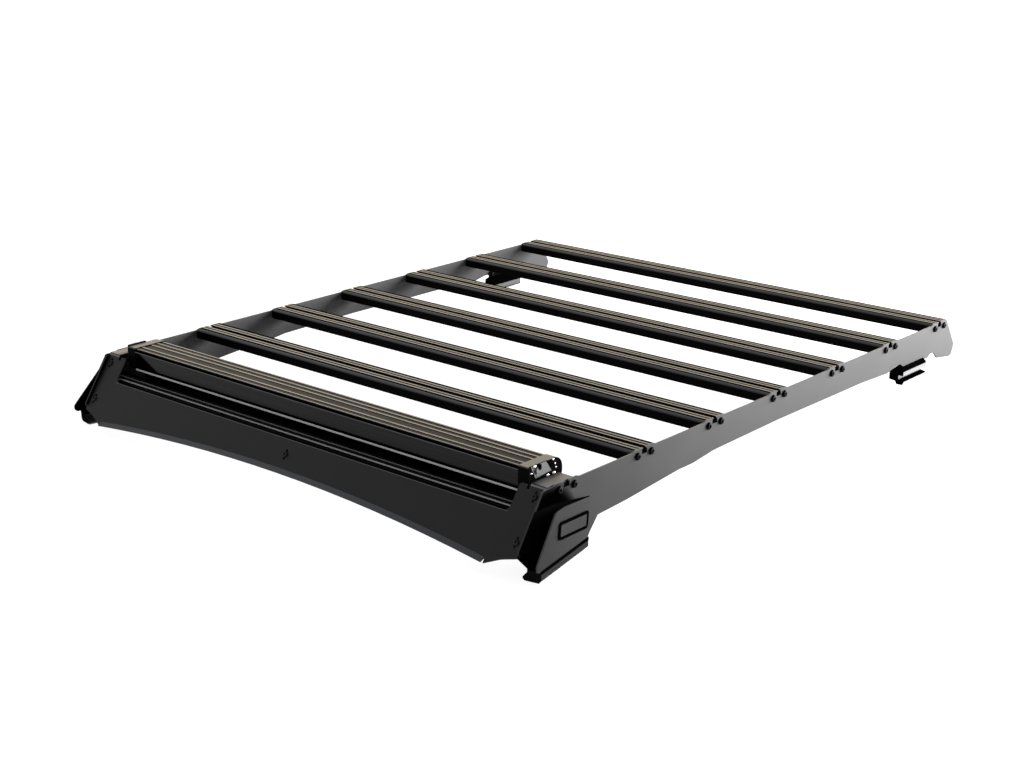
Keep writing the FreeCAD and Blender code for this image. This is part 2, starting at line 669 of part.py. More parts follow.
def light_bar_bracket():
    """Right-hand bracket: a channel from the side panel to an ear on the light bar's end cap."""
    y0 = BAR_FRONT_Y
    t = BAR_BRACKET_T
    low = BRACKET_LOW_Z
    section = [(BAR_CAP_X, low), (BAR_CAP_X, low + t), (PANEL_IN - t, low + t), (PANEL_IN - t, BRACKET_TOP_Z),
               (PANEL_IN, BRACKET_TOP_Z), (PANEL_IN, low)]
    body = bar(section, vec_xz(y0), FreeCAD.Vector(0, BAR_BRACKET_L, 0))
    boss_front = BAR_BACK_Y - CAP_BOSS_BACK - CAP_BOSS_D / 2.0 - FLANGE_GAP
    ear = plate([(y0, low, 0.0), (boss_front, low, 0.0), (boss_front, 0.0, BAR_EDGE_R),
                 (boss_front - BAR_BRACKET_LEAN / 2.0, BAR_BRACKET_TOP, BAR_EDGE_R),
                 (y0, BAR_BRACKET_TOP, BAR_EDGE_R)], vec_yz(BAR_CAP_X), TO_RIGHT * t)
    body = body.fuse(ear)
    for hole in row_holes(NOSE_ROW_Y, SLAT_PROUD, PANEL_IN - t, PANEL_IN):
        body = body.cut(hole)
    return body.cut(at_pivot(BAR_CAP_X, BAR_CAP_X + t, BAR_PIVOT_D + HOLE_CLEARANCE)).removeSplitter()


def light_bar_pivot():
    """Pivot bolt that clamps the light bar's angle: shank and flat round head."""
    face = BAR_CAP_X + BAR_BRACKET_T
    shank = at_pivot(BAR_CAP_X, face, BAR_PIVOT_D)
    return shank.fuse(at_pivot(face, face + BAR_PIVOT_HEAD_H, BAR_PIVOT_HEAD_D))


def foot_pad(x0, x1, y0, y1, top, thickness):
    """Rubber pad under a foot, its sides sloping in towards the ground."""
    slope = min(PAD_CHAMFER, thickness / 2.0)
    return bar([(x0, top), (x1, top), (x1 - slope, top - thickness), (x0 + slope, top - thickness)],
               vec_xz(y0), FreeCAD.Vector(0, y1 - y0, 0))


def front_foot():
    """The front foot's pieces on the right-hand side, flared with the flap."""
    y1 = BEND_Y - FRONT_FOOT_HEEL
    y0 = y1 - FRONT_FOOT_LENGTH
    run = FreeCAD.Vector(0, FRONT_FOOT_LENGTH, 0)
    seat = -FLAP_FOOT_DEPTH
    t = FOOT_BRACKET_T
    land_in = HALF - FRONT_RAIL_LAND
    horn_in = HALF - FOOT_HORN_IN
    # Base flange that turns up into a sloping horn on its inner side
    bracket = bar([(PANEL_IN, seat), (land_in, seat), (horn_in, seat + FOOT_HORN_RISE),
                   (horn_in, seat + FOOT_HORN_RISE + t), (land_in, seat + t), (PANEL_IN, seat + t)],
                  vec_xz(y0), run)
    web_out = HALF - FOOT_WEB_IN
    web_rear = BEND_Y - (PANEL_IN - web_out + t + FOOT_WEB_CLEAR) / math.tan(math.radians(FLARE_DEG))
    web_top = -FOOT_WEB_DEPTH
    lean_run = (web_top - seat) * math.tan(LEAN)
    web = [(y0, seat + t, 0.0), (y0 + lean_run, web_top, FOOT_WEB_R), (web_rear, web_top, FOOT_WEB_R),
           (web_rear, seat + t, 0.0)]
    bracket = bracket.fuse(plate(web, vec_yz(web_out - t), TO_RIGHT * t))
    gasket = box(land_in, HALF - SEAT_CLEARANCE, y0, y1, seat - GASKET_T, seat)
    top = seat - GASKET_T
    low = top - FRONT_RAIL_H
    rail_in = HALF - FRONT_RAIL_W
    rail = bar([(HALF, top), (HALF, top - FRONT_RAIL_SIDE_H), (HALF - FRONT_RAIL_BEVEL, low),
                (rail_in + FRONT_RAIL_LIP_BEVEL, low), (rail_in, low + FRONT_RAIL_LIP_BEVEL),
                (rail_in, top - FRONT_RAIL_LIP_H), (land_in, top - FRONT_RAIL_LIP_BEVEL), (land_in, top)],
               vec_xz(y0), run)
    pad = foot_pad(rail_in + FRONT_RAIL_LIP_BEVEL, HALF - FRONT_RAIL_BEVEL, y0 + PAD_CHAMFER, y1 - PAD_CHAMFER,
                   low, PAD_T)
    return [flared(s) for s in (bracket, gasket, rail, pad)]


def badge():
    """Bare badge plate on the flap's outer face, parallel with the slit."""
    tilt = math.radians(BADGE_TILT_DEG)

    def on_flap(u, v):
        y = BEND_Y - BADGE_AHEAD - u * math.cos(tilt) + v * math.sin(tilt)
        return FreeCAD.Vector(HALF, y, -BADGE_DEPTH + u * math.sin(tilt) + v * math.cos(tilt))

    u = BADGE_LENGTH / 2.0
    v = BADGE_HEIGHT / 2.0
    outline = [(-u, -v, BADGE_R), (u, -v, BADGE_R), (u, v, BADGE_R), (-u, v, BADGE_R)]
    return flared(plate(outline, on_flap, TO_RIGHT * BADGE_T))


def rear_foot():
    """The rear foot's pieces on the right-hand side: roof-shaped top, grooved rail and pad."""
    run = FreeCAD.Vector(0, REAR_FOOT_LENGTH, 0)
    place = vec_xz(REAR_FOOT_FRONT)
    outer = HALF + REAR_FOOT_OUT
    inner = outer - REAR_FOOT_W
    crown_in = PANEL_IN - REAR_CROWN_W
    groove = -SEAT_DEPTH - SEAT_CLEARANCE
    outer_seam = -REAR_EAVE_DEPTH - GASKET_T
    inner_seam = -REAR_INNER_EAVE_DEPTH - GASKET_T
    slope = (REAR_EAVE_DEPTH - REAR_CROWN_DEPTH) / REAR_FOOT_OUT
    crown_out = -REAR_CROWN_DEPTH - slope * PANEL_T / 2.0
    gasket = bar([(inner, inner_seam), (inner, -REAR_INNER_EAVE_DEPTH), (crown_in, -REAR_CROWN_DEPTH),
                  (PANEL_IN, -REAR_CROWN_DEPTH), (PANEL_IN, groove), (HALF, groove), (HALF, crown_out),
                  (outer, -REAR_EAVE_DEPTH), (outer, outer_seam)], place, run)
    neck = outer - REAR_NECK_W
    lip = (REAR_LIP_DEPTH + REAR_RAIL_BOTTOM) / 2.0
    rail = bar([(inner, inner_seam), (outer, outer_seam), (outer, -REAR_SIDE_DEPTH), (neck, -REAR_SIDE_DEPTH),
                (neck, -REAR_LIP_DEPTH), (outer, -lip), (outer, -REAR_RAIL_BOTTOM),
                (inner + REAR_NECK_W, -REAR_RAIL_BOTTOM), (inner, -lip)], place, run)
    pad = foot_pad(inner + REAR_NECK_W, outer, REAR_FOOT_FRONT + PAD_CHAMFER, REAR_FOOT_REAR - PAD_CHAMFER,
                   -REAR_RAIL_BOTTOM, REAR_PAD_T)
    b0 = REAR_FOOT_Y - REAR_BRACKET_L / 2.0
    b1 = REAR_FOOT_Y + REAR_BRACKET_L / 2.0
    bracket = plate([(b0, -REAR_CROWN_DEPTH, 0.0), (b0, -REAR_BRACKET_TOP, REAR_BRACKET_R),
                     (b1, -REAR_BRACKET_TOP, REAR_BRACKET_R), (b1, -REAR_CROWN_DEPTH, 0.0)],
                    vec_yz(PANEL_IN - REAR_BRACKET_T), TO_RIGHT * REAR_BRACKET_T)
    return [bracket, gasket, rail, pad]


def fairing_stay():
    """Bent strap from under the lower front slat to the fairing's middle bolt."""
    s_bolt = down_slope(CENTRE_BOLT_DEPTH)
    high = fairing_point(0.0, s_bolt - STAY_PAD / 2.0, -FAIRING_T)
    low = fairing_point(0.0, s_bolt + STAY_PAD / 2.0, -FAIRING_T)
    inner_low = fairing_point(0.0, s_bolt + STAY_PAD / 2.0, -FAIRING_T - STAY_T)
    inner_high = fairing_point(0.0, s_bolt - STAY_PAD / 2.0, -FAIRING_T - STAY_T)
    slat_bottom = -NOSE_SLAT_DEPTH - SLAT_HEIGHT
    foot_y = NOSE_SLAT_Y - SLAT_WIDTH / 2.0 + STAY_FOOT_L
    section = [(low.y, low.z), (high.y, high.z), (inner_high.y, slat_bottom), (foot_y, slat_bottom),
               (foot_y, slat_bottom - STAY_T), (inner_high.y + STAY_T, slat_bottom - STAY_T),
               (inner_low.y, inner_low.z)]
    strap = bar(section, vec_yz(-STAY_W / 2.0), TO_RIGHT * STAY_W)
    return strap.cut(fairing_bolt_hole(0.0, CENTRE_BOLT_DEPTH))


def build():
    """Every node by name, in the rack's own frame."""
    nodes = {}
    for i, y in enumerate(SLAT_YS):
        nodes["slat_%d" % (i + 1)] = slat(y, SLAT_PROUD, 2.0 * PANEL_IN)
    nodes["front_cross_slat"] = slat(NOSE_SLAT_Y, -NOSE_SLAT_DEPTH, 2.0 * CORNER_IN)
    nodes["wind_fairing"] = wind_fairing()
    nodes["fairing_stay"] = fairing_stay()
    nodes["light_bar_housing"] = light_bar_housing()
    nodes["light_bar_lens"] = light_bar_lens()
    front_bracket, front_gasket, front_rail, front_pad = front_foot()
    rear_bracket, rear_gasket, rear_rail, rear_pad = rear_foot()
    pairs = {
        "side_panel": side_panel(),
        "front_corner_plate": corner_plate(),
        "light_bar_cap": light_bar_cap(),
        "light_bar_bracket": light_bar_bracket(),
        "light_bar_pivot": light_bar_pivot(),
        "badge_plate": badge(),
        "front_foot_bracket": front_bracket,
        "front_foot_gasket": front_gasket,
        "front_foot_rail": front_rail,
        "front_foot_pad": front_pad,
        "rear_foot_bracket": rear_bracket,
        "rear_foot_gasket": rear_gasket,
        "rear_foot_rail": rear_rail,
        "rear_foot_pad": rear_pad,
    }
    for name, shape in pairs.items():
        nodes[name + "_right"] = shape
        nodes[name + "_left"] = mirrored(shape)
    return nodes


def main():
    os.makedirs("parts", exist_ok=True)
    nodes = build()
    whole = Part.Compound(list(nodes.values())).BoundBox
    shift = FreeCAD.Vector(0, -(whole.YMin + whole.YMax) / 2.0, -whole.ZMin)
    for name, shape in nodes.items():
        shape.translate(shift)
        shape.exportStep("parts/%s.step" % name)
    print("nodes", len(nodes), "size", whole.XLength, whole.YLength, whole.ZLength, "shift", shift)


main()
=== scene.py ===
import json
import math
import bpy
import bmesh
from mathutils import Matrix, Vector


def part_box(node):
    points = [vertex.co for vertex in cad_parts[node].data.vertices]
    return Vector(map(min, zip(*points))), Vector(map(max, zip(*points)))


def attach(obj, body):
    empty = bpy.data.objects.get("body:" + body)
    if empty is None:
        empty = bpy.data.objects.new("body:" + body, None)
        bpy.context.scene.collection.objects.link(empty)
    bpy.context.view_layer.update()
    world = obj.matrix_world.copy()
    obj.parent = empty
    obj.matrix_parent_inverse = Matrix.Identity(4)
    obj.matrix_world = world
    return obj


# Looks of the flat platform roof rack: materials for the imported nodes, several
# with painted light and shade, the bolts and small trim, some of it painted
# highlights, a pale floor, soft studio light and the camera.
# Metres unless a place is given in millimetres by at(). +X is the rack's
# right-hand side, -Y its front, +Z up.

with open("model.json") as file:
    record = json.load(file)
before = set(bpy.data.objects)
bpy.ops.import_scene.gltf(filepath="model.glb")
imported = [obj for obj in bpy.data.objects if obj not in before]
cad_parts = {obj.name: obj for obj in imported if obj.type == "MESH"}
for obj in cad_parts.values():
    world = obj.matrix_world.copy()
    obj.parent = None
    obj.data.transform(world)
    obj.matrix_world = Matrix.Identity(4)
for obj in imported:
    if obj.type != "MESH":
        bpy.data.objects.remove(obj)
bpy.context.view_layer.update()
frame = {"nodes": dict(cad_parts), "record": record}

MM = 0.001

# Sizes that the nodes don't give by themselves, in millimetres. Places along Y
# and Z are counted as by at().

# Slats, side panels and their bolts
SLAT_PROUD = 3.0
PANEL_THICK = 3.0
BOLT_BELOW_TOP = 13.0
BOLT_SPACING = 41.8
SLAT_HEAD_R = 7.5
SLAT_HEAD_H = 4.6
SLAT_ROWS = 7
BEND_Y = -617.0
RELIEF_Z = -46.5
ARM_BACK = -668.0
TAIL_START = -250.0
FLAP_LENGTH = 170.0
FLARE = math.radians(11.7)

# Wind fairing
FAIRING_LEAN = math.radians(35.0)
FAIRING_AHEAD = 51.9
FAIRING_HEAD_R = 6.2
FAIRING_HEAD_H = 3.6
FAIRING_BOLT_IN = 20.0
FAIRING_BOLT_DEPTHS = (16.0, 86.0)
CENTRE_BOLT_DEPTH = 72.0
NOTCH_HALF = 563.0
NOTCH_DEPTH = 46.6
NOTCH_LINE = 1.1
FLANGE_START = 589.5
FLANGE_BEND_DEPTHS = (-0.8, 1.9)
LINE_LIFT = 0.3

# Lower slat: half length, and its two light lines, painted highlights, as bounds
# along Y, counted from the front row of bolts, and Z
LOWER_SLAT_HALF = 621.0
LOWER_SLAT_BACK_LINE = (-50.3, -46.9, -46.4, -45.2)
LOWER_SLAT_FRONT_LINE = (-66.9, -63.3, -46.4, -45.2)

# Light bar, with sections counted from its front face and lower edge
BAR_HALF = 549.0
BAR_FRONT_Y = -722.0
BAR_LOW_Z = -25.0
BAR_TOP_Z = 22.0
BAR_EDGE_SECTION = ((7.0, 0.0), (0.0, 0.0), (0.0, 2.6), (-1.2, 2.2), (-1.6, -0.4), (-1.0, -1.4),
                    (7.0, -1.4))
BAR_GROOVES = ((5.0, 16.0), (21.0, 40.5), (45.5, 56.0), (61.0, 71.0))
GROOVE_FLOOR_Z = (-2.5, -0.8)
LENS_WRAP = 11.0
LENS_END_Z = (-18.0, 15.0)
LENS_EDGE_Z = (13.4, 15.4)
UPPER_SEAL_Z = (15.4, 21.0)
LOWER_SEAL_Z = (-21.6, -17.6)
UNDER_SEAL_Z = (-46.0, BAR_LOW_Z)
UNDER_SEAL_BACK = (18.0, 22.0)
UNDER_SEAL_IN = 4.0

# Ears of the light bar: outlines and screws in (y, z)
EAR_X = 576.0
EAR_COVER = ((-715.5, 24.8), (-679.0, 24.8), (-664.0, 4.0), (-703.0, 0.5))
EAR_COVER_THICK = 1.2
EAR_FOLD = ((-720.5, 24.8), (-716.3, 24.8), (-703.8, 0.4), (-707.5, 0.0))
EAR_FOLD_THICK = 0.96
EAR_SLOT = ((-704.2, 24.9), (-695.4, 24.9), (-694.6, 18.4), (-696.6, 15.0), (-701.0, 14.8),
            (-703.4, 18.2))
EAR_SLOT_THICK = 4.32
EAR_BACK_SCREWS = ((-658.0, 22.0), (-652.6, 13.2), (-650.2, 5.6))
EAR_FRONT_SCREW = (-719.0, 12.0)
EAR_TOP_SCREW = (-711.0, 23.4)
EAR_CLIPS = ((-655.8, -3.2), (-673.4, -3.2))
EAR_SUNK = 1.0

# Feet and their seals
REAR_FOOT_Y = 560.5
REAR_BOLT_SPACING = 41.6
REAR_BOLT_DEPTH = 59.0
REAR_FOOT_IN = 4.0
RAIL_LIP_Z = (-97.2, -96.2)
FOOT_SEAL_AHEAD = (3.0, 181.0)
FOOT_SEAL_OUT = (2.2, 3.8)
FOOT_SEAL_Z = (-131.0, -124.4)
RELIEF_SEAL_IN = (2.6, 0.2)
RELIEF_SEAL_Y = (-14.0, 16.0)
RELIEF_SEAL_Z = (-12.0, 10.0)

# Badge: its middle, its tilt and the border's loops as half lengths, corner
# radius and distance out from the flap's inner face
BADGE_AHEAD = 63.5
BADGE_DEPTH = 80.5
BADGE_TILT = math.radians(7.4)
BADGE_BORDER = ((56.2, 16.6, 6.6, 3.4), (56.2, 16.6, 6.6, 5.2), (50.4, 11.0, 2.8, 5.2),
                (50.4, 11.0, 2.8, 4.4))

# Where the coats change and where painted light and shade lie, in millimetres
SLOT_SIDE = 7.0
SLOT_SOFT = 0.6
STRIP_START = 11.6
STRIP_END = 17.6
RIB_END = 23.0
RIB_SOFT = 0.7
STRIP_SHARE = 0.03
SHOULDER = 4.7
BAR_RIB_DEPTHS = (1.5, 0.7)
FLANGE_SHADE_X = 590.0
FLANGE_SHADE_SOFT = 18.0
POCKET_Y = -735.0
POCKET_Z = -75.0
POCKET_R = 58.0
POCKET_SOFT = 28.0
POCKET_FALL = 2.2
TOP_EDGE_Z = (-12.0, -6.0)
CUT_EDGE_Z = -14.0
RIM_SOFT = 10.0

# Specular levels of the side panels' faces, set by place as painted light and shade
PANEL_GLOSS = 0.41
PANEL_FRONT_GLOSS = 0.26
PANEL_INNER_GLOSS = 0.04
FLAP_BEND_GLOSS = 0.1
FLAP_FRONT_GLOSS = 0.055
FLAP_INNER_GLOSS = 0.02
TOP_EDGE_GLOSS = 0.6
RIM_GLOSS = 0.4

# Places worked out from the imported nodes: metres, then millimetres
slat_low, slat_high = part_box("slat_1")
next_low, next_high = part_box("slat_2")
FIRST_Y = (slat_low.y + slat_high.y) / 2.0
PITCH = (next_low.y + next_high.y) / 2.0 - FIRST_Y
MIDDLE_Y = FIRST_Y + 2.0 * PITCH
TOP_Z = slat_high.z - SLAT_PROUD * MM
PANEL_IN = round(slat_high.x / MM, 3)
HALF = PANEL_IN + PANEL_THICK
ROW_YS = [(i - 3) * PITCH / MM for i in range(SLAT_ROWS)]

SIDES = ((1.0, "right"), (-1.0, "left"))


def at(x, y, z):
    """A place given in millimetres from the third slat's middle, at the panels' top edge."""
    return Vector((x * MM, MIDDLE_Y + y * MM, TOP_Z + z * MM))


def y_at(y):
    return at(0.0, y, 0.0).y


def z_at(z):
    return at(0.0, 0.0, z).z


# Shader nodes

def node_input(shader, name, value):
    shader.inputs[name].default_value = value


def add_node(tree, kind, **values):
    """A shader node with its plain settings; sockets are set by the caller."""
    node = tree.nodes.new(kind)
    for key, value in values.items():
        setattr(node, key, value)
    return node


def noise(tree, coords, scale, detail=2.0, roughness=0.5):
    node = add_node(tree, "ShaderNodeTexNoise")
    node_input(node, "Scale", scale)
    node_input(node, "Detail", detail)
    node_input(node, "Roughness", roughness)
    tree.links.new(coords, node.inputs["Vector"])
    return node.outputs["Fac"]


def remap(tree, value, from_low, from_high, to_low, to_high):
    node = add_node(tree, "ShaderNodeMapRange")
    for name, bound in (("From Min", from_low), ("From Max", from_high),
                        ("To Min", to_low), ("To Max", to_high)):
        node_input(node, name, bound)
    tree.links.new(value, node.inputs["Value"])
    return node.outputs["Result"]


def calculate(tree, operation, *values):
    """A math node; each value is a number or a socket."""
    node = add_node(tree, "ShaderNodeMath", operation=operation)
    for i, value in enumerate(values):
        if isinstance(value, (int, float)):
            node.inputs[i].default_value = value
        else:
            tree.links.new(value, node.inputs[i])
    return node.outputs[0]


def both(tree, one, two):
    """1 where both masks are 1."""
    return calculate(tree, "MULTIPLY", one, two)


def outside_of(tree, mask):
    """1 where the mask is 0 and 0 where it is 1."""
    return calculate(tree, "SUBTRACT", 1.0, mask)


def either(tree, mask, off, on):
    """The value off where the mask is 0, on where it is 1; each is a number or a socket."""
    kept = calculate(tree, "MULTIPLY", outside_of(tree, mask), off)
    return calculate(tree, "ADD", kept, calculate(tree, "MULTIPLY", mask, on))


def blend_colours(tree, factor, low, high):
    """The colour low where the factor is 0, high where it is 1; each is a colour or a socket."""
    node = add_node(tree, "ShaderNodeMix", data_type="RGBA")
    for socket, colour in (("A", low), ("B", high)):
        target = [s for s in node.inputs if s.name == socket and s.type == "RGBA"][0]
        if isinstance(colour, (tuple, list)):
            target.default_value = tuple(colour) + (1.0,)
        else:
            tree.links.new(colour, target)
    share = [s for s in node.inputs if s.name == "Factor" and s.type == "VALUE"][0]
    tree.links.new(factor, share)
    return [s for s in node.outputs if s.type == "RGBA"][0]


def object_coords(tree, scale=(1.0, 1.0, 1.0)):
    coords = add_node(tree, "ShaderNodeTexCoord").outputs["Object"]
    mapping = add_node(tree, "ShaderNodeMapping")
    node_input(mapping, "Scale", scale)
    tree.links.new(coords, mapping.inputs["Vector"])
    return mapping.outputs["Vector"]


def surface(tree, quantity, axis):
    """One coordinate of the surface's own "Normal" or "Position"."""
    parts = add_node(tree, "ShaderNodeSeparateXYZ")
    geometry = add_node(tree, "ShaderNodeNewGeometry")
    tree.links.new(geometry.outputs[quantity], parts.inputs["Vector"])
    return parts.outputs[axis]


def facing(tree, axis, low=0.7, high=0.95):
    """1 on faces square to the axis, 0 on the others."""
    share = calculate(tree, "ABSOLUTE", surface(tree, "Normal", axis))
    return remap(tree, share, low, high, 0.0, 1.0)


def sideways(tree):
    """Above 0 on faces that look away from the rack's middle plane, below 0 on inward ones."""
    return calculate(tree, "MULTIPLY", surface(tree, "Normal", "X"), surface(tree, "Position", "X"))


# Materials

# The cloudy noise's usual range
CLOUD = (0.3, 0.7)


def new_material(name, metallic=0.0, specular=0.5):
    """A material with a Principled shader whose constants sit on its own sockets."""
    material = bpy.data.materials.new(name)
    material.use_nodes = True
    tree = material.node_tree
    shader = tree.nodes["Principled BSDF"]
    node_input(shader, "Metallic", metallic)
    node_input(shader, "Specular IOR Level", specular)
    return material, tree, shader


def add_bump(tree, shader, height, distance, strength):
    bump = add_node(tree, "ShaderNodeBump")
    node_input(bump, "Distance", distance)
    node_input(bump, "Strength", strength)
    tree.links.new(height, bump.inputs["Height"])
    tree.links.new(bump.outputs["Normal"], shader.inputs["Normal"])


def uneven(tree, shader, pattern, middle, spread):
    """Roughness that follows a pattern round its middle value."""
    tree.links.new(remap(tree, pattern, *CLOUD, middle - spread, middle + spread),
                   shader.inputs["Roughness"])


def fine_texture(tree, shader, rough):
    """A coat's cloudy roughness and fine grain; gives the cloud, for the colour to follow."""
    coords = object_coords(tree)
    cloud = noise(tree, coords, 14.0, 3.0)
    uneven(tree, shader, cloud, rough, 0.02)
    add_bump(tree, shader, noise(tree, coords, 900.0, 2.0), 0.00002, 0.15)
    return cloud


def mottled(tree, cloud, dark, light):
    return blend_colours(tree, remap(tree, cloud, *CLOUD, 0.0, 1.0), dark, light)


def gloss_by_facing(tree, level, slope, flank, front):
    """Specular level of level, sloping, side and other faces, set by facing as painted light and
    shade.
    """
    upright = either(tree, facing(tree, "X"), front, flank)
    leaning = either(tree, facing(tree, "Z", 0.55, 0.75), upright, slope)
    return either(tree, facing(tree, "Z", 0.9, 0.97), leaning, level)


def slat_ribs(tree):
    """1 on the slats' ribs, 0 by the slot, and low on a strip on either side of it: a painted shade
    in the grooves.
    """
    off_centre = calculate(tree, "SUBTRACT", surface(tree, "Position", "Y"), MIDDLE_Y)
    away = calculate(tree, "PINGPONG", off_centre, PITCH / 2.0)

    def step(place, soft, low, high):
        return remap(tree, away, (place - soft) * MM, (place + soft) * MM, low, high)

    inner = step(SLOT_SIDE, SLOT_SOFT, 0.0, 1.0)
    outer = step(RIB_END, RIB_SOFT, 1.0, 0.0)
    strip = calculate(tree, "MAXIMUM", step(STRIP_START, RIB_SOFT, 1.0, STRIP_SHARE),
                      step(STRIP_END, RIB_SOFT, STRIP_SHARE, 1.0))
    return both(tree, both(tree, inner, outer), strip)


def shoulder_fade(tree, slope):
    """The slats' shoulders darken downwards, a painted shade, from this specular level to none."""
    return remap(tree, surface(tree, "Position", "Z"), z_at(SLAT_PROUD - SHOULDER),
                 z_at(SLAT_PROUD), 0.0, slope)


def bar_ribs(tree):
    """1 on the tops of the light bar's fins, 0 down in the grooves, where the duller gloss is a
    painted shade.
    """
    low, high = (z_at(BAR_TOP_Z - depth) for depth in BAR_RIB_DEPTHS)
    return remap(tree, surface(tree, "Position", "Z"), low, high, 0.0, 1.0)


def flange_light(tree):
    """0 at the inner ends of the fairing's flanges, in the bar's shade, rising to 1 outwards."""
    out = calculate(tree, "ABSOLUTE", surface(tree, "Position", "X"))
    return remap(tree, out, FLANGE_SHADE_X * MM, (FLANGE_SHADE_X + FLANGE_SHADE_SOFT) * MM,
                 0.0, 1.0)


def coated(name, dark, light, rough, gloss, ribs=None, between=0.0, fade=None):
    """Fine-textured coat with uneven tone, and gloss by facing as painted light and shade; level
    faces are dull between any ribs, a painted shade.
    """
    material, tree, shader = new_material(name)
    cloud = fine_texture(tree, shader, rough)
    tree.links.new(mottled(tree, cloud, dark, light), shader.inputs["Base Color"])
    level, slope, flank, front = gloss
    if fade is not None:
        slope = fade(tree, slope)
    if ribs is not None:
        level = either(tree, ribs(tree), between, level)
    tree.links.new(gloss_by_facing(tree, level, slope, flank, front),
                   shader.inputs["Specular IOR Level"])
    return material


def panel_masks(tree):
    """Masks of the panels' broad faces, of those on the bent flap, and of outward faces."""
    flank = facing(tree, "X")
    turn = calculate(tree, "ABSOLUTE", surface(tree, "Normal", "Y"))
    bent = both(tree, flank, remap(tree, turn, 0.08, 0.16, 0.0, 1.0))
    return flank, bent, calculate(tree, "GREATER_THAN", sideways(tree), 0.0)


def pocket_mask(tree, flank, bent):
    """1 on the panel's own sheet just ahead of and above the slit, fading out around it: the place
    of the painted shade in the flap's pocket.
    """
    spot = add_node(tree, "ShaderNodeCombineXYZ")
    for axis in "YZ":
        tree.links.new(surface(tree, "Position", axis), spot.inputs[axis])
    reach = add_node(tree, "ShaderNodeVectorMath", operation="DISTANCE")
    tree.links.new(spot.outputs["Vector"], reach.inputs[0])
    reach.inputs[1].default_value = at(0.0, POCKET_Y, POCKET_Z)
    far = remap(tree, reach.outputs["Value"], POCKET_R * MM, (POCKET_R + POCKET_SOFT) * MM,
                0.0, 1.0)
    near = outside_of(tree, calculate(tree, "POWER", far, POCKET_FALL))
    return both(tree, both(tree, near, flank), outside_of(tree, bent))


def cut_edges(tree):
    """1 on the panels' cut edges that are painted black as shade: behind the front arm, below the
    top edge.
    """
    low = calculate(tree, "LESS_THAN", surface(tree, "Position", "Z"), z_at(CUT_EDGE_Z))
    behind = calculate(tree, "GREATER_THAN", surface(tree, "Position", "Y"), y_at(ARM_BACK))
    return both(tree, both(tree, low, behind), outside_of(tree, facing(tree, "X", 0.9, 0.96)))


def panel_gloss(tree, flank, bent, outward, pocket):
    """The panels' specular level, set by place as painted light and shade: outside it rises to the
    tail; inside and flap are duller; the front arm's cut edges and the top edge get painted
    highlights.
    """
    along = surface(tree, "Position", "Y")
    flap = remap(tree, along, y_at(BEND_Y - FLAP_LENGTH), y_at(BEND_Y),
                 FLAP_FRONT_GLOSS, FLAP_BEND_GLOSS)
    sheet = remap(tree, along, y_at(BEND_Y), y_at(TAIL_START), PANEL_FRONT_GLOSS, PANEL_GLOSS)
    outside = either(tree, bent, sheet, flap)
    inside = either(tree, bent, PANEL_INNER_GLOSS, FLAP_INNER_GLOSS)
    broad = either(tree, pocket, either(tree, outward, inside, outside), 0.0)
    rim = remap(tree, along, y_at(ARM_BACK - RIM_SOFT), y_at(ARM_BACK), RIM_GLOSS, 0.0)
    low, high = (z_at(z) for z in TOP_EDGE_Z)
    top_edge = remap(tree, surface(tree, "Position", "Z"), low, high, 0.0, TOP_EDGE_GLOSS)
    return either(tree, facing(tree, "Z"), either(tree, flank, rim, broad), top_edge)


def panel_coat():
    """The side panels' coat with painted light and shade: glossier outside than inside, and a
    painted shade, deep black, in the flap's pocket.
    """
    material, tree, shader = new_material("panel_coat_black")
    cloud = fine_texture(tree, shader, 0.5)
    flank, bent, outward = panel_masks(tree)
    inward = outside_of(tree, outward)
    pocket = pocket_mask(tree, flank, bent)
    # Painted shade: the flap's pocket, the flap's inner face and some cut edges get no gloss and a
    # near-black colour.
    hidden = calculate(tree, "MAXIMUM", pocket, both(tree, bent, inward))
    hidden = calculate(tree, "MAXIMUM", hidden, cut_edges(tree))
    gloss = either(tree, hidden, panel_gloss(tree, flank, bent, outward, pocket), 0.0)
    tree.links.new(gloss, shader.inputs["Specular IOR Level"])
    colour = mottled(tree, cloud, (0.006, 0.006, 0.0062), (0.008, 0.008, 0.0082))
    # Painted light: the panels' inward faces get a paler base colour.
    colour = blend_colours(tree, both(tree, flank, inward), colour, (0.047, 0.047, 0.0477))
    colour = blend_colours(tree, hidden, colour, (0.0004, 0.0004, 0.0004))
    tree.links.new(colour, shader.inputs["Base Color"])
    return material


def screw_zinc():
    """Bright zinc with fine lines."""
    material, tree, shader = new_material("screw_zinc", metallic=1.0)
    lines = noise(tree, object_coords(tree, (60.0, 60.0, 60.0)), 1.0, 3.0, 0.6)
    tree.links.new(blend_colours(tree, lines, (0.8, 0.8, 0.82), (0.95, 0.95, 0.96)),
                   shader.inputs["Base Color"])
    uneven(tree, shader, noise(tree, object_coords(tree), 20.0, 2.0), 0.3, 0.04)
    add_bump(tree, shader, lines, 0.00003, 0.25)
    return material


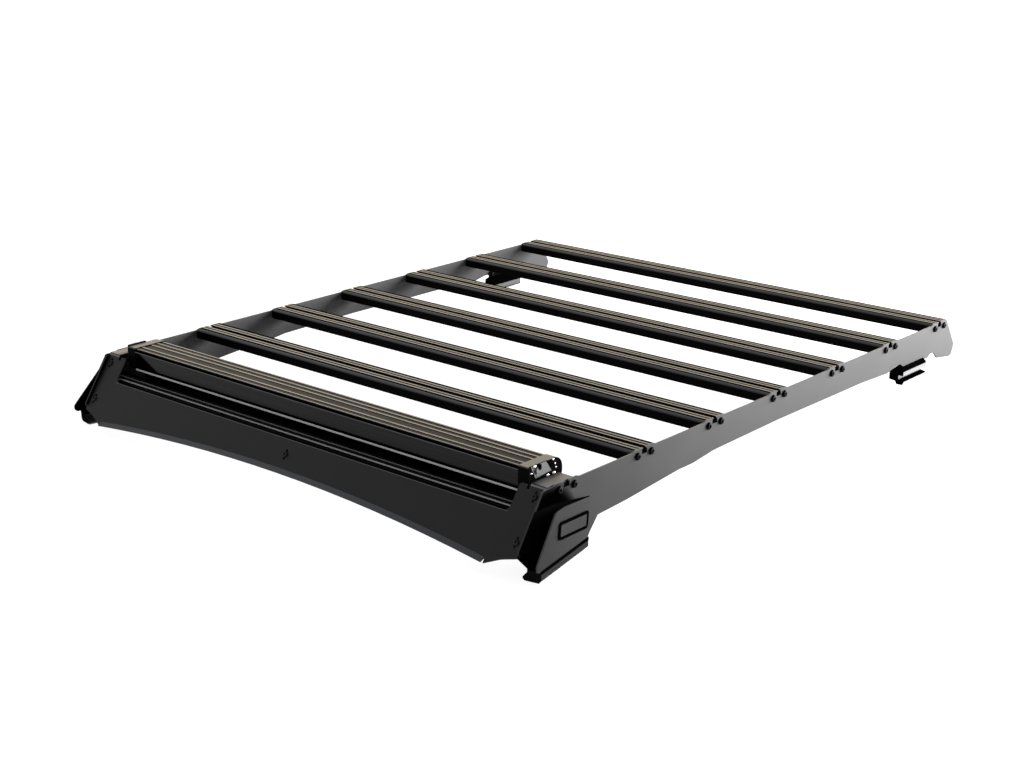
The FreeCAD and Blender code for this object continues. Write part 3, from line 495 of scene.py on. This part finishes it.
def rear_rail_material():
    """Mill-finish sides, darker on inward faces as a painted shade, on an extrusion whose top and
    lower lip are black and whose cut ends are painted black as shade.
    """
    material, tree, shader = new_material("rear_rail_two_tone")
    lines = noise(tree, object_coords(tree, (800.0, 6.0, 800.0)), 1.0, 3.0, 0.6)
    low, high = (z_at(z) for z in RAIL_LIP_Z)
    above_lip = remap(tree, surface(tree, "Position", "Z"), low, high, 0.0, 1.0)
    bare_sides = both(tree, facing(tree, "X"), above_lip)
    inward = calculate(tree, "LESS_THAN", sideways(tree), 0.0)
    metal = blend_colours(tree, lines, (0.19, 0.19, 0.2), (0.25, 0.25, 0.26))
    # Painted shade: the bare metal is darker on inward faces.
    metal = blend_colours(tree, inward, metal, (0.06, 0.06, 0.061))
    tree.links.new(blend_colours(tree, bare_sides, (0.0006, 0.0006, 0.0006), metal),
                   shader.inputs["Base Color"])
    tree.links.new(bare_sides, shader.inputs["Metallic"])
    tree.links.new(calculate(tree, "MULTIPLY", bare_sides, 0.5), shader.inputs["Specular IOR Level"])
    uneven(tree, shader, lines, 0.37, 0.05)
    return material


def rear_pad_material():
    """Pale rubber whose cut ends are painted black as shade."""
    material, tree, shader = new_material("pad_two_tone", specular=0.0)
    cloud = noise(tree, object_coords(tree), 30.0, 3.0)
    pale = blend_colours(tree, cloud, (0.3, 0.3, 0.3), (0.36, 0.36, 0.36))
    tree.links.new(blend_colours(tree, facing(tree, "Y"), pale, (0.0008, 0.0008, 0.0008)),
                   shader.inputs["Base Color"])
    uneven(tree, shader, cloud, 0.7, 0.04)
    return material


def lens_material():
    """Dark clear lens: fine streaks along the bar over a dark reflector, and a painted dark
    reflection at its left end.
    """
    gloss = 0.12
    shade_slope = 2.0
    shade_edge_x = (-0.515, -0.505)
    material, tree, shader = new_material("lens_streaked", specular=gloss)
    streaks = noise(tree, object_coords(tree, (1.5, 1.0, 420.0)), 1.0, 2.0, 0.7)
    colour = blend_colours(tree, remap(tree, streaks, 0.35, 0.65, 0.0, 1.0),
                           (0.004, 0.004, 0.004), (0.016, 0.0155, 0.0145))
    # A painted dark reflection: a sloping dark patch at the lens's left end
    depth = calculate(tree, "SUBTRACT", TOP_Z, surface(tree, "Position", "Z"))
    past_shade_edge = calculate(tree, "SUBTRACT", surface(tree, "Position", "X"),
                          calculate(tree, "MULTIPLY", depth, shade_slope))
    lit = remap(tree, past_shade_edge, *shade_edge_x, 0.0, 1.0)
    tree.links.new(blend_colours(tree, lit, (0.0008, 0.0008, 0.0008), colour),
                   shader.inputs["Base Color"])
    tree.links.new(calculate(tree, "MULTIPLY", lit, gloss), shader.inputs["Specular IOR Level"])
    uneven(tree, shader, noise(tree, object_coords(tree, (3.0, 1.0, 1.0)), 2.0, 2.0), 0.34, 0.04)
    return material


NO_GLOSS = (0.0, 0.0, 0.0, 0.0)

# Plain coats by slot or finish: the material's name, its darkest and lightest
# colour, its roughness, and the specular level of level, sloping, side and
# other faces, set by facing as painted light and shade
COATS = {
    "black_plastic": ("plastic_black", (0.002, 0.002, 0.002), (0.003, 0.003, 0.003), 0.42,
                      (0.55, 0.4, 0.0, 0.01)),
    "black_rubber": ("rubber_black", (0.0006, 0.0006, 0.0006), (0.001, 0.001, 0.001), 0.8,
                     NO_GLOSS),
    "rail_aluminium": ("rail_dark", (0.006, 0.006, 0.0063), (0.008, 0.008, 0.0083), 0.5,
                       (0.02, 0.02, 0.035, 0.0)),
    "bolt_steel": ("bolt_black_oxide", (0.001, 0.001, 0.0012), (0.002, 0.002, 0.0022), 0.5,
                   (0.1, 0.1, 0.04, 0.2)),
    "badge_face": ("badge_satin", (0.009, 0.009, 0.0092), (0.011, 0.011, 0.0112), 0.45,
                   (0.2, 0.2, 0.07, 0.07)),
    "groove": ("groove_black", (0.002, 0.002, 0.0024), (0.003, 0.003, 0.0034), 0.42,
               (0.025, 0.02, 0.0, 0.0)),
    "side_bolt": ("side_bolt_black", (0.0008, 0.0008, 0.0008), (0.0012, 0.0012, 0.0012), 0.6,
                  (0.0, 0.01, 0.05, 0.01)),
    # Corner plate and brackets: no gloss on side faces, a painted shade.
    "corner": ("corner_coat_black", (0.002, 0.002, 0.0021), (0.003, 0.003, 0.0031), 0.5,
               (0.4, 0.3, 0.0, 0.3)),
    "ledge": ("ledge_coat_black", (0.002, 0.002, 0.0021), (0.003, 0.003, 0.0031), 0.42,
              (0.5, 0.3, 0.0, 0.1)),
    # Near black with no gloss: a painted shade, on the bracket in the flap's pocket.
    "hidden": ("bracket_coat_black", (0.0006, 0.0006, 0.0006), (0.001, 0.001, 0.001), 0.7,
               NO_GLOSS),
    # Lower slat: darker, with little gloss on level faces, a painted shade under the light bar.
    "lower_slat": ("lower_slat_black", (0.0012, 0.0012, 0.0013), (0.0018, 0.0018, 0.0019), 0.5,
                   (0.1, 0.02, 0.0, 0.01)),
    "pad": ("pad_pale", (0.3, 0.3, 0.3), (0.36, 0.36, 0.36), 0.7, (0.1, 0.1, 0.1, 0.1)),
    "cover": ("cover_satin_grey", (0.11, 0.11, 0.112), (0.13, 0.13, 0.132), 0.45,
              (0.4, 0.4, 0.3, 0.3)),
    # Grey strips that are painted highlights: the bar's lower edge, the fairing's notch edge and
    # flange bends, and the lower slat's edges; the dark grey one also colours the bar's lens
    # surround.
    "trim_grey": ("trim_satin_grey", (0.6, 0.6, 0.61), (0.68, 0.68, 0.69), 0.4,
                  (0.5, 0.5, 0.5, 0.5)),
    "trim_dark": ("trim_dark_grey", (0.06, 0.06, 0.061), (0.075, 0.075, 0.076), 0.4,
                  (0.3, 0.3, 0.3, 0.3)),
    "trim_edge": ("trim_edge_grey", (0.14, 0.14, 0.142), (0.17, 0.17, 0.172), 0.4,
                  (0.4, 0.4, 0.3, 0.3)),
    "trim_mid": ("trim_mid_grey", (0.34, 0.34, 0.345), (0.4, 0.4, 0.405), 0.4,
                 (0.4, 0.4, 0.3, 0.3)),
    "trim_black": ("trim_black", (0.0006, 0.0006, 0.0006), (0.001, 0.001, 0.001), 0.8, NO_GLOSS),
}


def make_materials():
    """Materials by slot of the record, or by the name of a finish."""
    materials = {finish: coated(*coat) for finish, coat in COATS.items()}
    # Level faces are dulled inboard of FLANGE_SHADE_X, a painted shadow of the light bar on the
    # fairing's flanges.
    materials["powder_coat"] = coated(
        "powder_coat_black", (0.007, 0.007, 0.0078), (0.009, 0.009, 0.0098), 0.42,
        (0.5, 0.2, 0.3, 0.15), ribs=flange_light, between=0.01)
    # Slats: painted shade in the grooves and down the shoulders.
    materials["slat_coat"] = coated(
        "slat_coat_black", (0.0018, 0.0018, 0.002), (0.0026, 0.0026, 0.0028), 0.4,
        (0.6, 0.3, 0.1, 0.01), ribs=slat_ribs, fade=shoulder_fade)
    # Light bar housing: duller down in the grooves, a painted shade.
    materials["bar_housing"] = coated(
        "housing_black", (0.002, 0.002, 0.0022), (0.003, 0.003, 0.003), 0.42,
        (0.74, 0.3, 0.1, 0.05), ribs=bar_ribs, between=0.09)
    materials["panel"] = panel_coat()
    materials["lens"] = lens_material()
    materials["rear_rail"] = rear_rail_material()
    materials["rear_pad"] = rear_pad_material()
    materials["bright"] = screw_zinc()
    return materials


MATERIALS = make_materials()

# Nodes with a finish of their own; the others take their slot's material
NODE_FINISHES = {
    "side_panel": "panel",
    "rear_foot_rail": "rear_rail",
    "front_corner_plate": "corner",
    "light_bar_bracket": "ledge",
    "front_foot_bracket": "hidden",
    "rear_foot_bracket": "ledge",
    "front_cross_slat": "lower_slat",
    "front_foot_pad": "pad",
    "rear_foot_pad": "rear_pad",
    "light_bar_pivot": "cover",
}


def dress_nodes():
    """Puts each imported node's material in its own slots."""
    slots = {part["node"]: part["material_slot"] for part in frame["record"]["subparts"]}
    for name, node in frame["nodes"].items():
        plain = name.replace("_left", "").replace("_right", "")
        node.data.materials.clear()
        node.data.materials.append(MATERIALS[NODE_FINISHES.get(plain, slots[name])])


# Meshes

SMOOTH_ANGLE = math.radians(40.0)
HEAD_SEGMENTS = 24
DOME_STEPS = 5
SEAT_SHARE = 0.14
CORNER_STEPS = 5


def new_piece(name, bm, slot, finish=None):
    """A finished mesh as a piece that rides with the rack."""
    bmesh.ops.recalc_face_normals(bm, faces=bm.faces)
    mesh = bpy.data.meshes.new(name)
    bm.to_mesh(mesh)
    bm.free()
    mesh.polygons.foreach_set("use_smooth", [True] * len(mesh.polygons))
    mesh.set_sharp_from_angle(angle=SMOOTH_ANGLE)
    mesh.materials.append(MATERIALS[finish or slot])
    piece = bpy.data.objects.new(name, mesh)
    bpy.context.scene.collection.objects.link(piece)
    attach(piece, "root")


def across(width):
    """A push of this many millimetres along +X."""
    return Vector((width * MM, 0.0, 0.0))


def add_prism(bm, corners, push):
    """A closed outline of places, pushed along a vector into a solid."""
    near = [bm.verts.new(corner) for corner in corners]
    far = [bm.verts.new(corner + push) for corner in corners]
    count = len(corners)
    bm.faces.new(near)
    bm.faces.new(list(reversed(far)))
    for i in range(count):
        j = (i + 1) % count
        bm.faces.new((near[i], far[i], far[j], near[j]))


def prism_piece(name, prisms, slot, finish=None):
    """Prisms, each an outline and its push, as one joined mesh."""
    bm = bmesh.new()
    for corners, push in prisms:
        add_prism(bm, corners, push)
    new_piece(name, bm, slot, finish)


def box(x0, x1, y0, y1, z0, z1):
    """Outline and push of a box between these bounds."""
    return [at(x0, y0, z0), at(x0, y1, z0), at(x0, y1, z1), at(x0, y0, z1)], across(x1 - x0)


def bar_strip(half, y0, y1, z0, z1):
    """A box along the light bar, with its depth counted from the bar's front face."""
    return box(-half, half, BAR_FRONT_Y + y0, BAR_FRONT_Y + y1, z0, z1)


def circle_points(bm, place, height, radius_at):
    """Points round the place's own axis; the radius follows the angle."""
    points = []
    for i in range(HEAD_SEGMENTS):
        angle = 2.0 * math.pi * i / HEAD_SEGMENTS
        radius = radius_at(angle)
        points.append(bm.verts.new(
            place @ Vector((radius * math.cos(angle), radius * math.sin(angle), height))))
    return points


def ring(bm, place, radius, height):
    return circle_points(bm, place, height, lambda angle: radius)


def hex_ring(bm, place, across_flats, height):
    """As many points as a ring, spread along a hexagon."""
    sector = math.pi / 3.0
    return circle_points(bm, place, height, lambda angle: across_flats / 2.0 / math.cos(
        (angle % sector) - sector / 2.0))


def join_rings(bm, rings):
    """Closed skin over a row of rings, with both ends filled."""
    for lower, upper in zip(rings, rings[1:]):
        for i in range(HEAD_SEGMENTS):
            j = (i + 1) % HEAD_SEGMENTS
            bm.faces.new((lower[i], lower[j], upper[j], upper[i]))
    bm.faces.new(rings[-1])
    bm.faces.new(list(reversed(rings[0])))


def dome_rings(bm, place, radius, height, crown):
    """Rings of a low dome from its seat to a flat crown of this share of the radius."""
    rings = [ring(bm, place, radius, 0.0), ring(bm, place, radius, SEAT_SHARE * height)]
    for step in range(1, DOME_STEPS + 1):
        turn = math.pi / 2.0 * step / DOME_STEPS
        rings.append(ring(bm, place, radius * (crown + (1.0 - crown) * math.cos(turn)),
                          height * (SEAT_SHARE + (1.0 - SEAT_SHARE) * math.sin(turn))))
    return rings


def button_head(bm, place, radius, height):
    """A domed bolt head with a hexagon socket, seated at its place and facing its +Z."""
    rings = dome_rings(bm, place, radius, height, 0.52)
    rings.append(hex_ring(bm, place, radius * 0.7, height))
    rings.append(hex_ring(bm, place, radius * 0.7, height * 0.4))
    join_rings(bm, rings)


def plain_head(bm, place, radius, height):
    join_rings(bm, dome_rings(bm, place, radius, height, 0.3))


def turned(point, direction):
    """A place at the point with its +Z along the direction."""
    turn = Vector((0.0, 0.0, 1.0)).rotation_difference(Vector(direction)).to_matrix().to_4x4()
    return Matrix.Translation(point) @ turn


def stretched(place, share):
    """The same place, longer along its own Y."""
    return place @ Matrix.Diagonal((1.0, share, 1.0, 1.0))


def bolt_group(name, places, radius, height, finish=None, head=button_head):
    """Heads at these places, as one joined mesh."""
    bm = bmesh.new()
    for place in places:
        head(bm, place, radius * MM, height * MM)
    new_piece(name, bm, "bolt_steel", finish)


FAIRING_OUT = Vector((0.0, -math.cos(FAIRING_LEAN), math.sin(FAIRING_LEAN)))
DOWN_FAIRING = Vector((0.0, -math.sin(FAIRING_LEAN), -math.cos(FAIRING_LEAN)))


def on_fairing(x, depth):
    """The point on the fairing's face at this depth below the panels' top edge."""
    top = at(x, ROW_YS[0] - FAIRING_AHEAD, 0.0)
    return top + DOWN_FAIRING * (depth * MM / math.cos(FAIRING_LEAN))


def fairing_line(x0, x1, depths):
    """Outline and push of a thin line on the fairing's face, between two depths."""
    corners = [on_fairing(x0, depth) for depth in depths]
    raised = [corner + FAIRING_OUT * LINE_LIFT * MM for corner in reversed(corners)]
    return corners + raised, across(x1 - x0)


def on_flap(side, ahead, out, z):
    """The point this far ahead of the flap's bend and out from its inner face."""
    x = PANEL_IN + out * math.cos(FLARE) + ahead * math.sin(FLARE)
    return at(side * x, BEND_Y - ahead * math.cos(FLARE) + out * math.sin(FLARE), z)


def make_side_bolts():
    """Two bolts at each slat, and three at each rear foot."""
    for side, name in SIDES:
        rows = [at(side * HALF, y + along * BOLT_SPACING, SLAT_PROUD - BOLT_BELOW_TOP)
                for y in ROW_YS for along in (-0.5, 0.5)]
        bolt_group("slat_bolts_" + name, [turned(point, (side, 0.0, 0.0)) for point in rows],
                   SLAT_HEAD_R, SLAT_HEAD_H, finish="side_bolt")
        feet = [at(side * (PANEL_IN - REAR_FOOT_IN), REAR_FOOT_Y + along * REAR_BOLT_SPACING,
                   -REAR_BOLT_DEPTH) for along in (-1.0, 0.0, 1.0)]
        bolt_group("rear_foot_bolts_" + name, [turned(point, (-side, 0.0, 0.0)) for point in feet],
                   FAIRING_HEAD_R, FAIRING_HEAD_H, finish="side_bolt")


def make_fairing_bolts():
    points = [on_fairing(0.0, CENTRE_BOLT_DEPTH)]
    for x in (HALF - FAIRING_BOLT_IN, FAIRING_BOLT_IN - HALF):
        points += [on_fairing(x, depth) for depth in FAIRING_BOLT_DEPTHS]
    bolt_group("fairing_bolts", [turned(point, FAIRING_OUT) for point in points],
               FAIRING_HEAD_R, FAIRING_HEAD_H)


def make_bar_trim():
    """The light bar's bright lower edge, a painted highlight, and its lens surround, groove floors
    and seals.
    """
    section = [at(-BAR_HALF, BAR_FRONT_Y + y, BAR_LOW_Z + z) for y, z in BAR_EDGE_SECTION]
    prism_piece("bar_lower_edge", [(section, across(2.0 * BAR_HALF))], "bar_housing", "trim_grey")
    prism_piece("bar_seals", [
        bar_strip(BAR_HALF, -0.8, 0.8, *LOWER_SEAL_Z),
        bar_strip(BAR_HALF, -0.4, 0.8, *UPPER_SEAL_Z),
        bar_strip(BAR_HALF - UNDER_SEAL_IN, *UNDER_SEAL_BACK, *UNDER_SEAL_Z),
    ], "black_rubber", "trim_black")
    prism_piece("bar_lens_edge", [bar_strip(BAR_HALF, -0.6, 0.8, *LENS_EDGE_Z)],
                "bar_housing", "trim_dark")
    prism_piece("bar_lens_ends", [
        box(side * BAR_HALF, side * (BAR_HALF + LENS_WRAP), BAR_FRONT_Y - 0.6, BAR_FRONT_Y + 0.8,
            *LENS_END_Z) for side, _ in SIDES], "lens")
    floor_low, floor_high = (BAR_TOP_Z + z for z in GROOVE_FLOOR_Z)
    prism_piece("bar_groove_floors", [
        bar_strip(BAR_HALF, start, end, floor_low, floor_high) for start, end in BAR_GROOVES],
                "bar_housing", "groove")


def make_lower_slat_lines():
    """Painted highlights: bright lines along the top of the lower slat."""
    row = ROW_YS[0]
    for name, (y0, y1, z0, z1), finish in (
            ("lower_slat_back_edge", LOWER_SLAT_BACK_LINE, "trim_edge"),
            ("lower_slat_front_edge", LOWER_SLAT_FRONT_LINE, "trim_mid")):
        strip = box(-LOWER_SLAT_HALF, LOWER_SLAT_HALF, row + y0, row + y1, z0, z1)
        prism_piece(name, [strip], "slat_coat", finish)


def make_fairing_lines():
    """Painted highlights: light lines at the lower edge of the fairing's notch and along its
    flanges' bends.
    """
    prism_piece("notch_edge", [
        fairing_line(-NOTCH_HALF, NOTCH_HALF, (NOTCH_DEPTH, NOTCH_DEPTH + NOTCH_LINE))],
                "powder_coat", "trim_dark")
    prism_piece("flange_bends", [
        fairing_line(side * FLANGE_START, side * (PANEL_IN - 1.0), FLANGE_BEND_DEPTHS)
        for side, _ in SIDES], "powder_coat", "trim_edge")


def make_foot_seals():
    """Wide rubber seal between each flap and its front foot's rail."""
    back, front = FOOT_SEAL_AHEAD
    near, far = FOOT_SEAL_OUT
    low, high = FOOT_SEAL_Z
    for side, name in SIDES:
        corners = [on_flap(side, back, out, z)
                   for out, z in ((near, high), (far, high), (far, low), (near, low))]
        push = on_flap(side, front, near, high) - on_flap(side, back, near, high)
        prism_piece("front_foot_seal_" + name, [(corners, push)], "black_rubber", "trim_black")


def make_relief_seals():
    """A rubber patch inside each panel, behind the round relief at the slit's end."""
    prism_piece("bend_relief_seals", [
        box(*(side * (PANEL_IN - inset) for inset in RELIEF_SEAL_IN),
            *(BEND_Y + y for y in RELIEF_SEAL_Y), *(RELIEF_Z + z for z in RELIEF_SEAL_Z))
        for side, _ in SIDES], "black_rubber", "trim_black")


def on_ear(side, y, z, out=0.0):
    """A place for a head on a light bar's ear, this far out from its face."""
    return turned(at(side * (EAR_X + out), y, z), (side, 0.0, 0.0))


def make_ear_plate(name, side, outline, thick, finish):
    corners = [at(side * EAR_X, y, z) for y, z in outline]
    prism_piece(name, [(corners, across(side * thick))], "powder_coat", finish)


def make_ear_screws(side, name):
    places = [on_ear(side, y, z, -EAR_SUNK) for y, z in EAR_BACK_SCREWS]
    places.append(on_ear(side, *EAR_FRONT_SCREW))
    bolt_group("ear_screws_" + name, places, 2.0, 2.0, finish="bright", head=plain_head)
    place = stretched(on_ear(side, *EAR_TOP_SCREW, EAR_COVER_THICK), 1.5)
    bolt_group("ear_bright_screw_" + name, [place], 2.4, 2.0, finish="bright", head=plain_head)


def make_ears():
    """Folded cover plate on each ear of the light bar, with its slot, screws and clips."""
    for side, name in SIDES:
        make_ear_plate("ear_cover_" + name, side, EAR_COVER, EAR_COVER_THICK, "cover")
        make_ear_plate("ear_cover_fold_" + name, side, EAR_FOLD, EAR_FOLD_THICK, "cover")
        make_ear_screws(side, name)
        make_ear_plate("ear_slot_" + name, side, EAR_SLOT, EAR_SLOT_THICK, "trim_black")
        clips = [stretched(on_ear(side, y, z, -EAR_SUNK), 2.0) for y, z in EAR_CLIPS]
        bolt_group("ear_clips_" + name, clips, 2.3, 2.2, finish="bright", head=plain_head)


def rounded_rectangle(half_u, half_v, radius):
    """Corners of a rounded rectangle about the origin."""
    points = []
    for quarter, (cu, cv) in enumerate(((1, 1), (-1, 1), (-1, -1), (1, -1))):
        for step in range(CORNER_STEPS + 1):
            angle = math.pi / 2.0 * (quarter + step / CORNER_STEPS)
            points.append((cu * (half_u - radius) + radius * math.cos(angle),
                           cv * (half_v - radius) + radius * math.sin(angle)))
    return points


def badge_loop(bm, side, half_u, half_v, radius, out):
    """One loop of the badge's border, tilted with the badge on its flap."""
    loop = []
    for u, v in rounded_rectangle(half_u, half_v, radius):
        ahead = BADGE_AHEAD + u * math.cos(BADGE_TILT) - v * math.sin(BADGE_TILT)
        z = -BADGE_DEPTH + u * math.sin(BADGE_TILT) + v * math.cos(BADGE_TILT)
        loop.append(bm.verts.new(on_flap(side, ahead, out, z)))
    return loop


def make_badge_borders():
    """Black raised border round each bare badge plate."""
    for side, name in SIDES:
        bm = bmesh.new()
        loops = [badge_loop(bm, side, *sizes) for sizes in BADGE_BORDER]
        for one, two in zip(loops, loops[1:] + loops[:1]):
            for i in range(len(one)):
                j = (i + 1) % len(one)
                bm.faces.new((one[i], one[j], two[j], two[i]))
        new_piece("badge_border_" + name, bm, "badge_face", "trim_black")


# Camera, floor and light

def make_camera():
    """The photo's view: from the front right, a little above."""
    data = bpy.data.cameras.new("camera")
    data.sensor_width = 36.0
    data.lens = 61.17
    data.clip_end = 100.0
    camera = bpy.data.objects.new("camera", data)
    bpy.context.scene.collection.objects.link(camera)
    camera.location = at(2440.2, -2905.4, 1099.4)
    elevation = math.radians(17.773)
    azimuth = math.radians(41.121)
    camera.rotation_euler = (math.pi / 2.0 - elevation, 0.0, azimuth)
    bpy.context.scene.camera = camera


def camera_or_mirror(tree):
    """1 for rays that come straight, mirrored or refracted from the view, 0 for soft bounces."""
    path = add_node(tree, "ShaderNodeLightPath")
    straight = calculate(tree, "MAXIMUM", path.outputs["Is Camera Ray"],
                         path.outputs["Is Glossy Ray"])
    return calculate(tree, "MAXIMUM", straight, path.outputs["Is Transmission Ray"])


FLOOR_SHADOW_WHITE = 0.9
FLOOR_FADE_START = 1.0
FLOOR_FADE_END = 2.2


def grey_matte(tree, grey):
    matte = add_node(tree, "ShaderNodeBsdfDiffuse")
    node_input(matte, "Color", (grey, grey, grey, 1.0))
    return matte.outputs[0]


def seen_floor(tree):
    """What the camera sees: near white with the rack's faint shadow, and white further out."""
    white = add_node(tree, "ShaderNodeEmission")
    node_input(white, "Color", (1.0, 1.0, 1.0, 1.0))
    reach = add_node(tree, "ShaderNodeVectorMath", operation="LENGTH")
    tree.links.new(object_coords(tree), reach.inputs[0])
    tree.links.new(remap(tree, reach.outputs["Value"], FLOOR_FADE_START, FLOOR_FADE_END,
                         FLOOR_SHADOW_WHITE, 1.0), white.inputs["Strength"])
    seen = add_node(tree, "ShaderNodeAddShader")
    tree.links.new(grey_matte(tree, 0.25), seen.inputs[0])
    tree.links.new(white.outputs[0], seen.inputs[1])
    return seen.outputs[0]


def floor_material():
    """Pale floor: white to the camera and in mirrors, plain grey for soft bounces."""
    material = bpy.data.materials.new("floor_pale")
    material.use_nodes = True
    tree = material.node_tree
    tree.nodes.remove(tree.nodes["Principled BSDF"])
    mix = add_node(tree, "ShaderNodeMixShader")
    tree.links.new(camera_or_mirror(tree), mix.inputs[0])
    tree.links.new(grey_matte(tree, 0.5), mix.inputs[1])
    tree.links.new(seen_floor(tree), mix.inputs[2])
    tree.links.new(mix.outputs[0], tree.nodes["Material Output"].inputs["Surface"])
    return material


def make_floor():
    bm = bmesh.new()
    bmesh.ops.create_grid(bm, x_segments=24, y_segments=24, size=30.0)
    mesh = bpy.data.meshes.new("floor")
    bm.to_mesh(mesh)
    bm.free()
    mesh.materials.append(floor_material())
    floor = bpy.data.objects.new("floor", mesh)
    bpy.context.scene.collection.objects.link(floor)


def make_world():
    world = bpy.data.worlds.new("studio")
    bpy.context.scene.world = world
    world.use_nodes = True
    tree = world.node_tree
    background = tree.nodes["Background"]
    node_input(background, "Color", (1.0, 1.0, 1.0, 1.0))
    tree.links.new(remap(tree, camera_or_mirror(tree), 0.0, 1.0, 0.45, 1.0),
                   background.inputs["Strength"])


def area_lamp(name, place, target, width, height, brightness, colour):
    """A soft box; its brightness is the white level it shows in a mirror."""
    data = bpy.data.lights.new(name, "AREA")
    data.shape = "RECTANGLE"
    data.size = width
    data.size_y = height
    data.energy = brightness * math.pi * width * height
    data.color = colour
    lamp = bpy.data.objects.new(name, data)
    bpy.context.scene.collection.objects.link(lamp)
    lamp.location = place
    lamp.rotation_euler = (Vector(target) - Vector(place)).to_track_quat("-Z", "Y").to_euler()
    lamp.visible_camera = False


def make_lamps():
    """A warm wall behind the far side, a bright box at the back right and one overhead."""
    middle = (0.0, 0.0, 0.1)
    area_lamp("back_warm", (-3.6, 4.4, 2.2), middle, 8.0, 3.6, 1.5, (1.0, 0.76, 0.44))
    area_lamp("back_right", (1.7, 3.0, 0.8), (0.6, 0.2, 0.1), 3.0, 1.5, 55.0, (1.0, 1.0, 1.0))
    area_lamp("overhead", (-2.2, 0.2, 3.6), middle, 4.0, 4.0, 1.2, (0.8, 0.87, 1.0))


make_camera()
make_world()
make_floor()
make_lamps()
dress_nodes()
make_side_bolts()
make_fairing_bolts()
make_bar_trim()
make_lower_slat_lines()
make_fairing_lines()
make_foot_seals()
make_relief_seals()
make_ears()
make_badge_borders()
bpy.context.scene.view_settings.view_transform = "Standard"
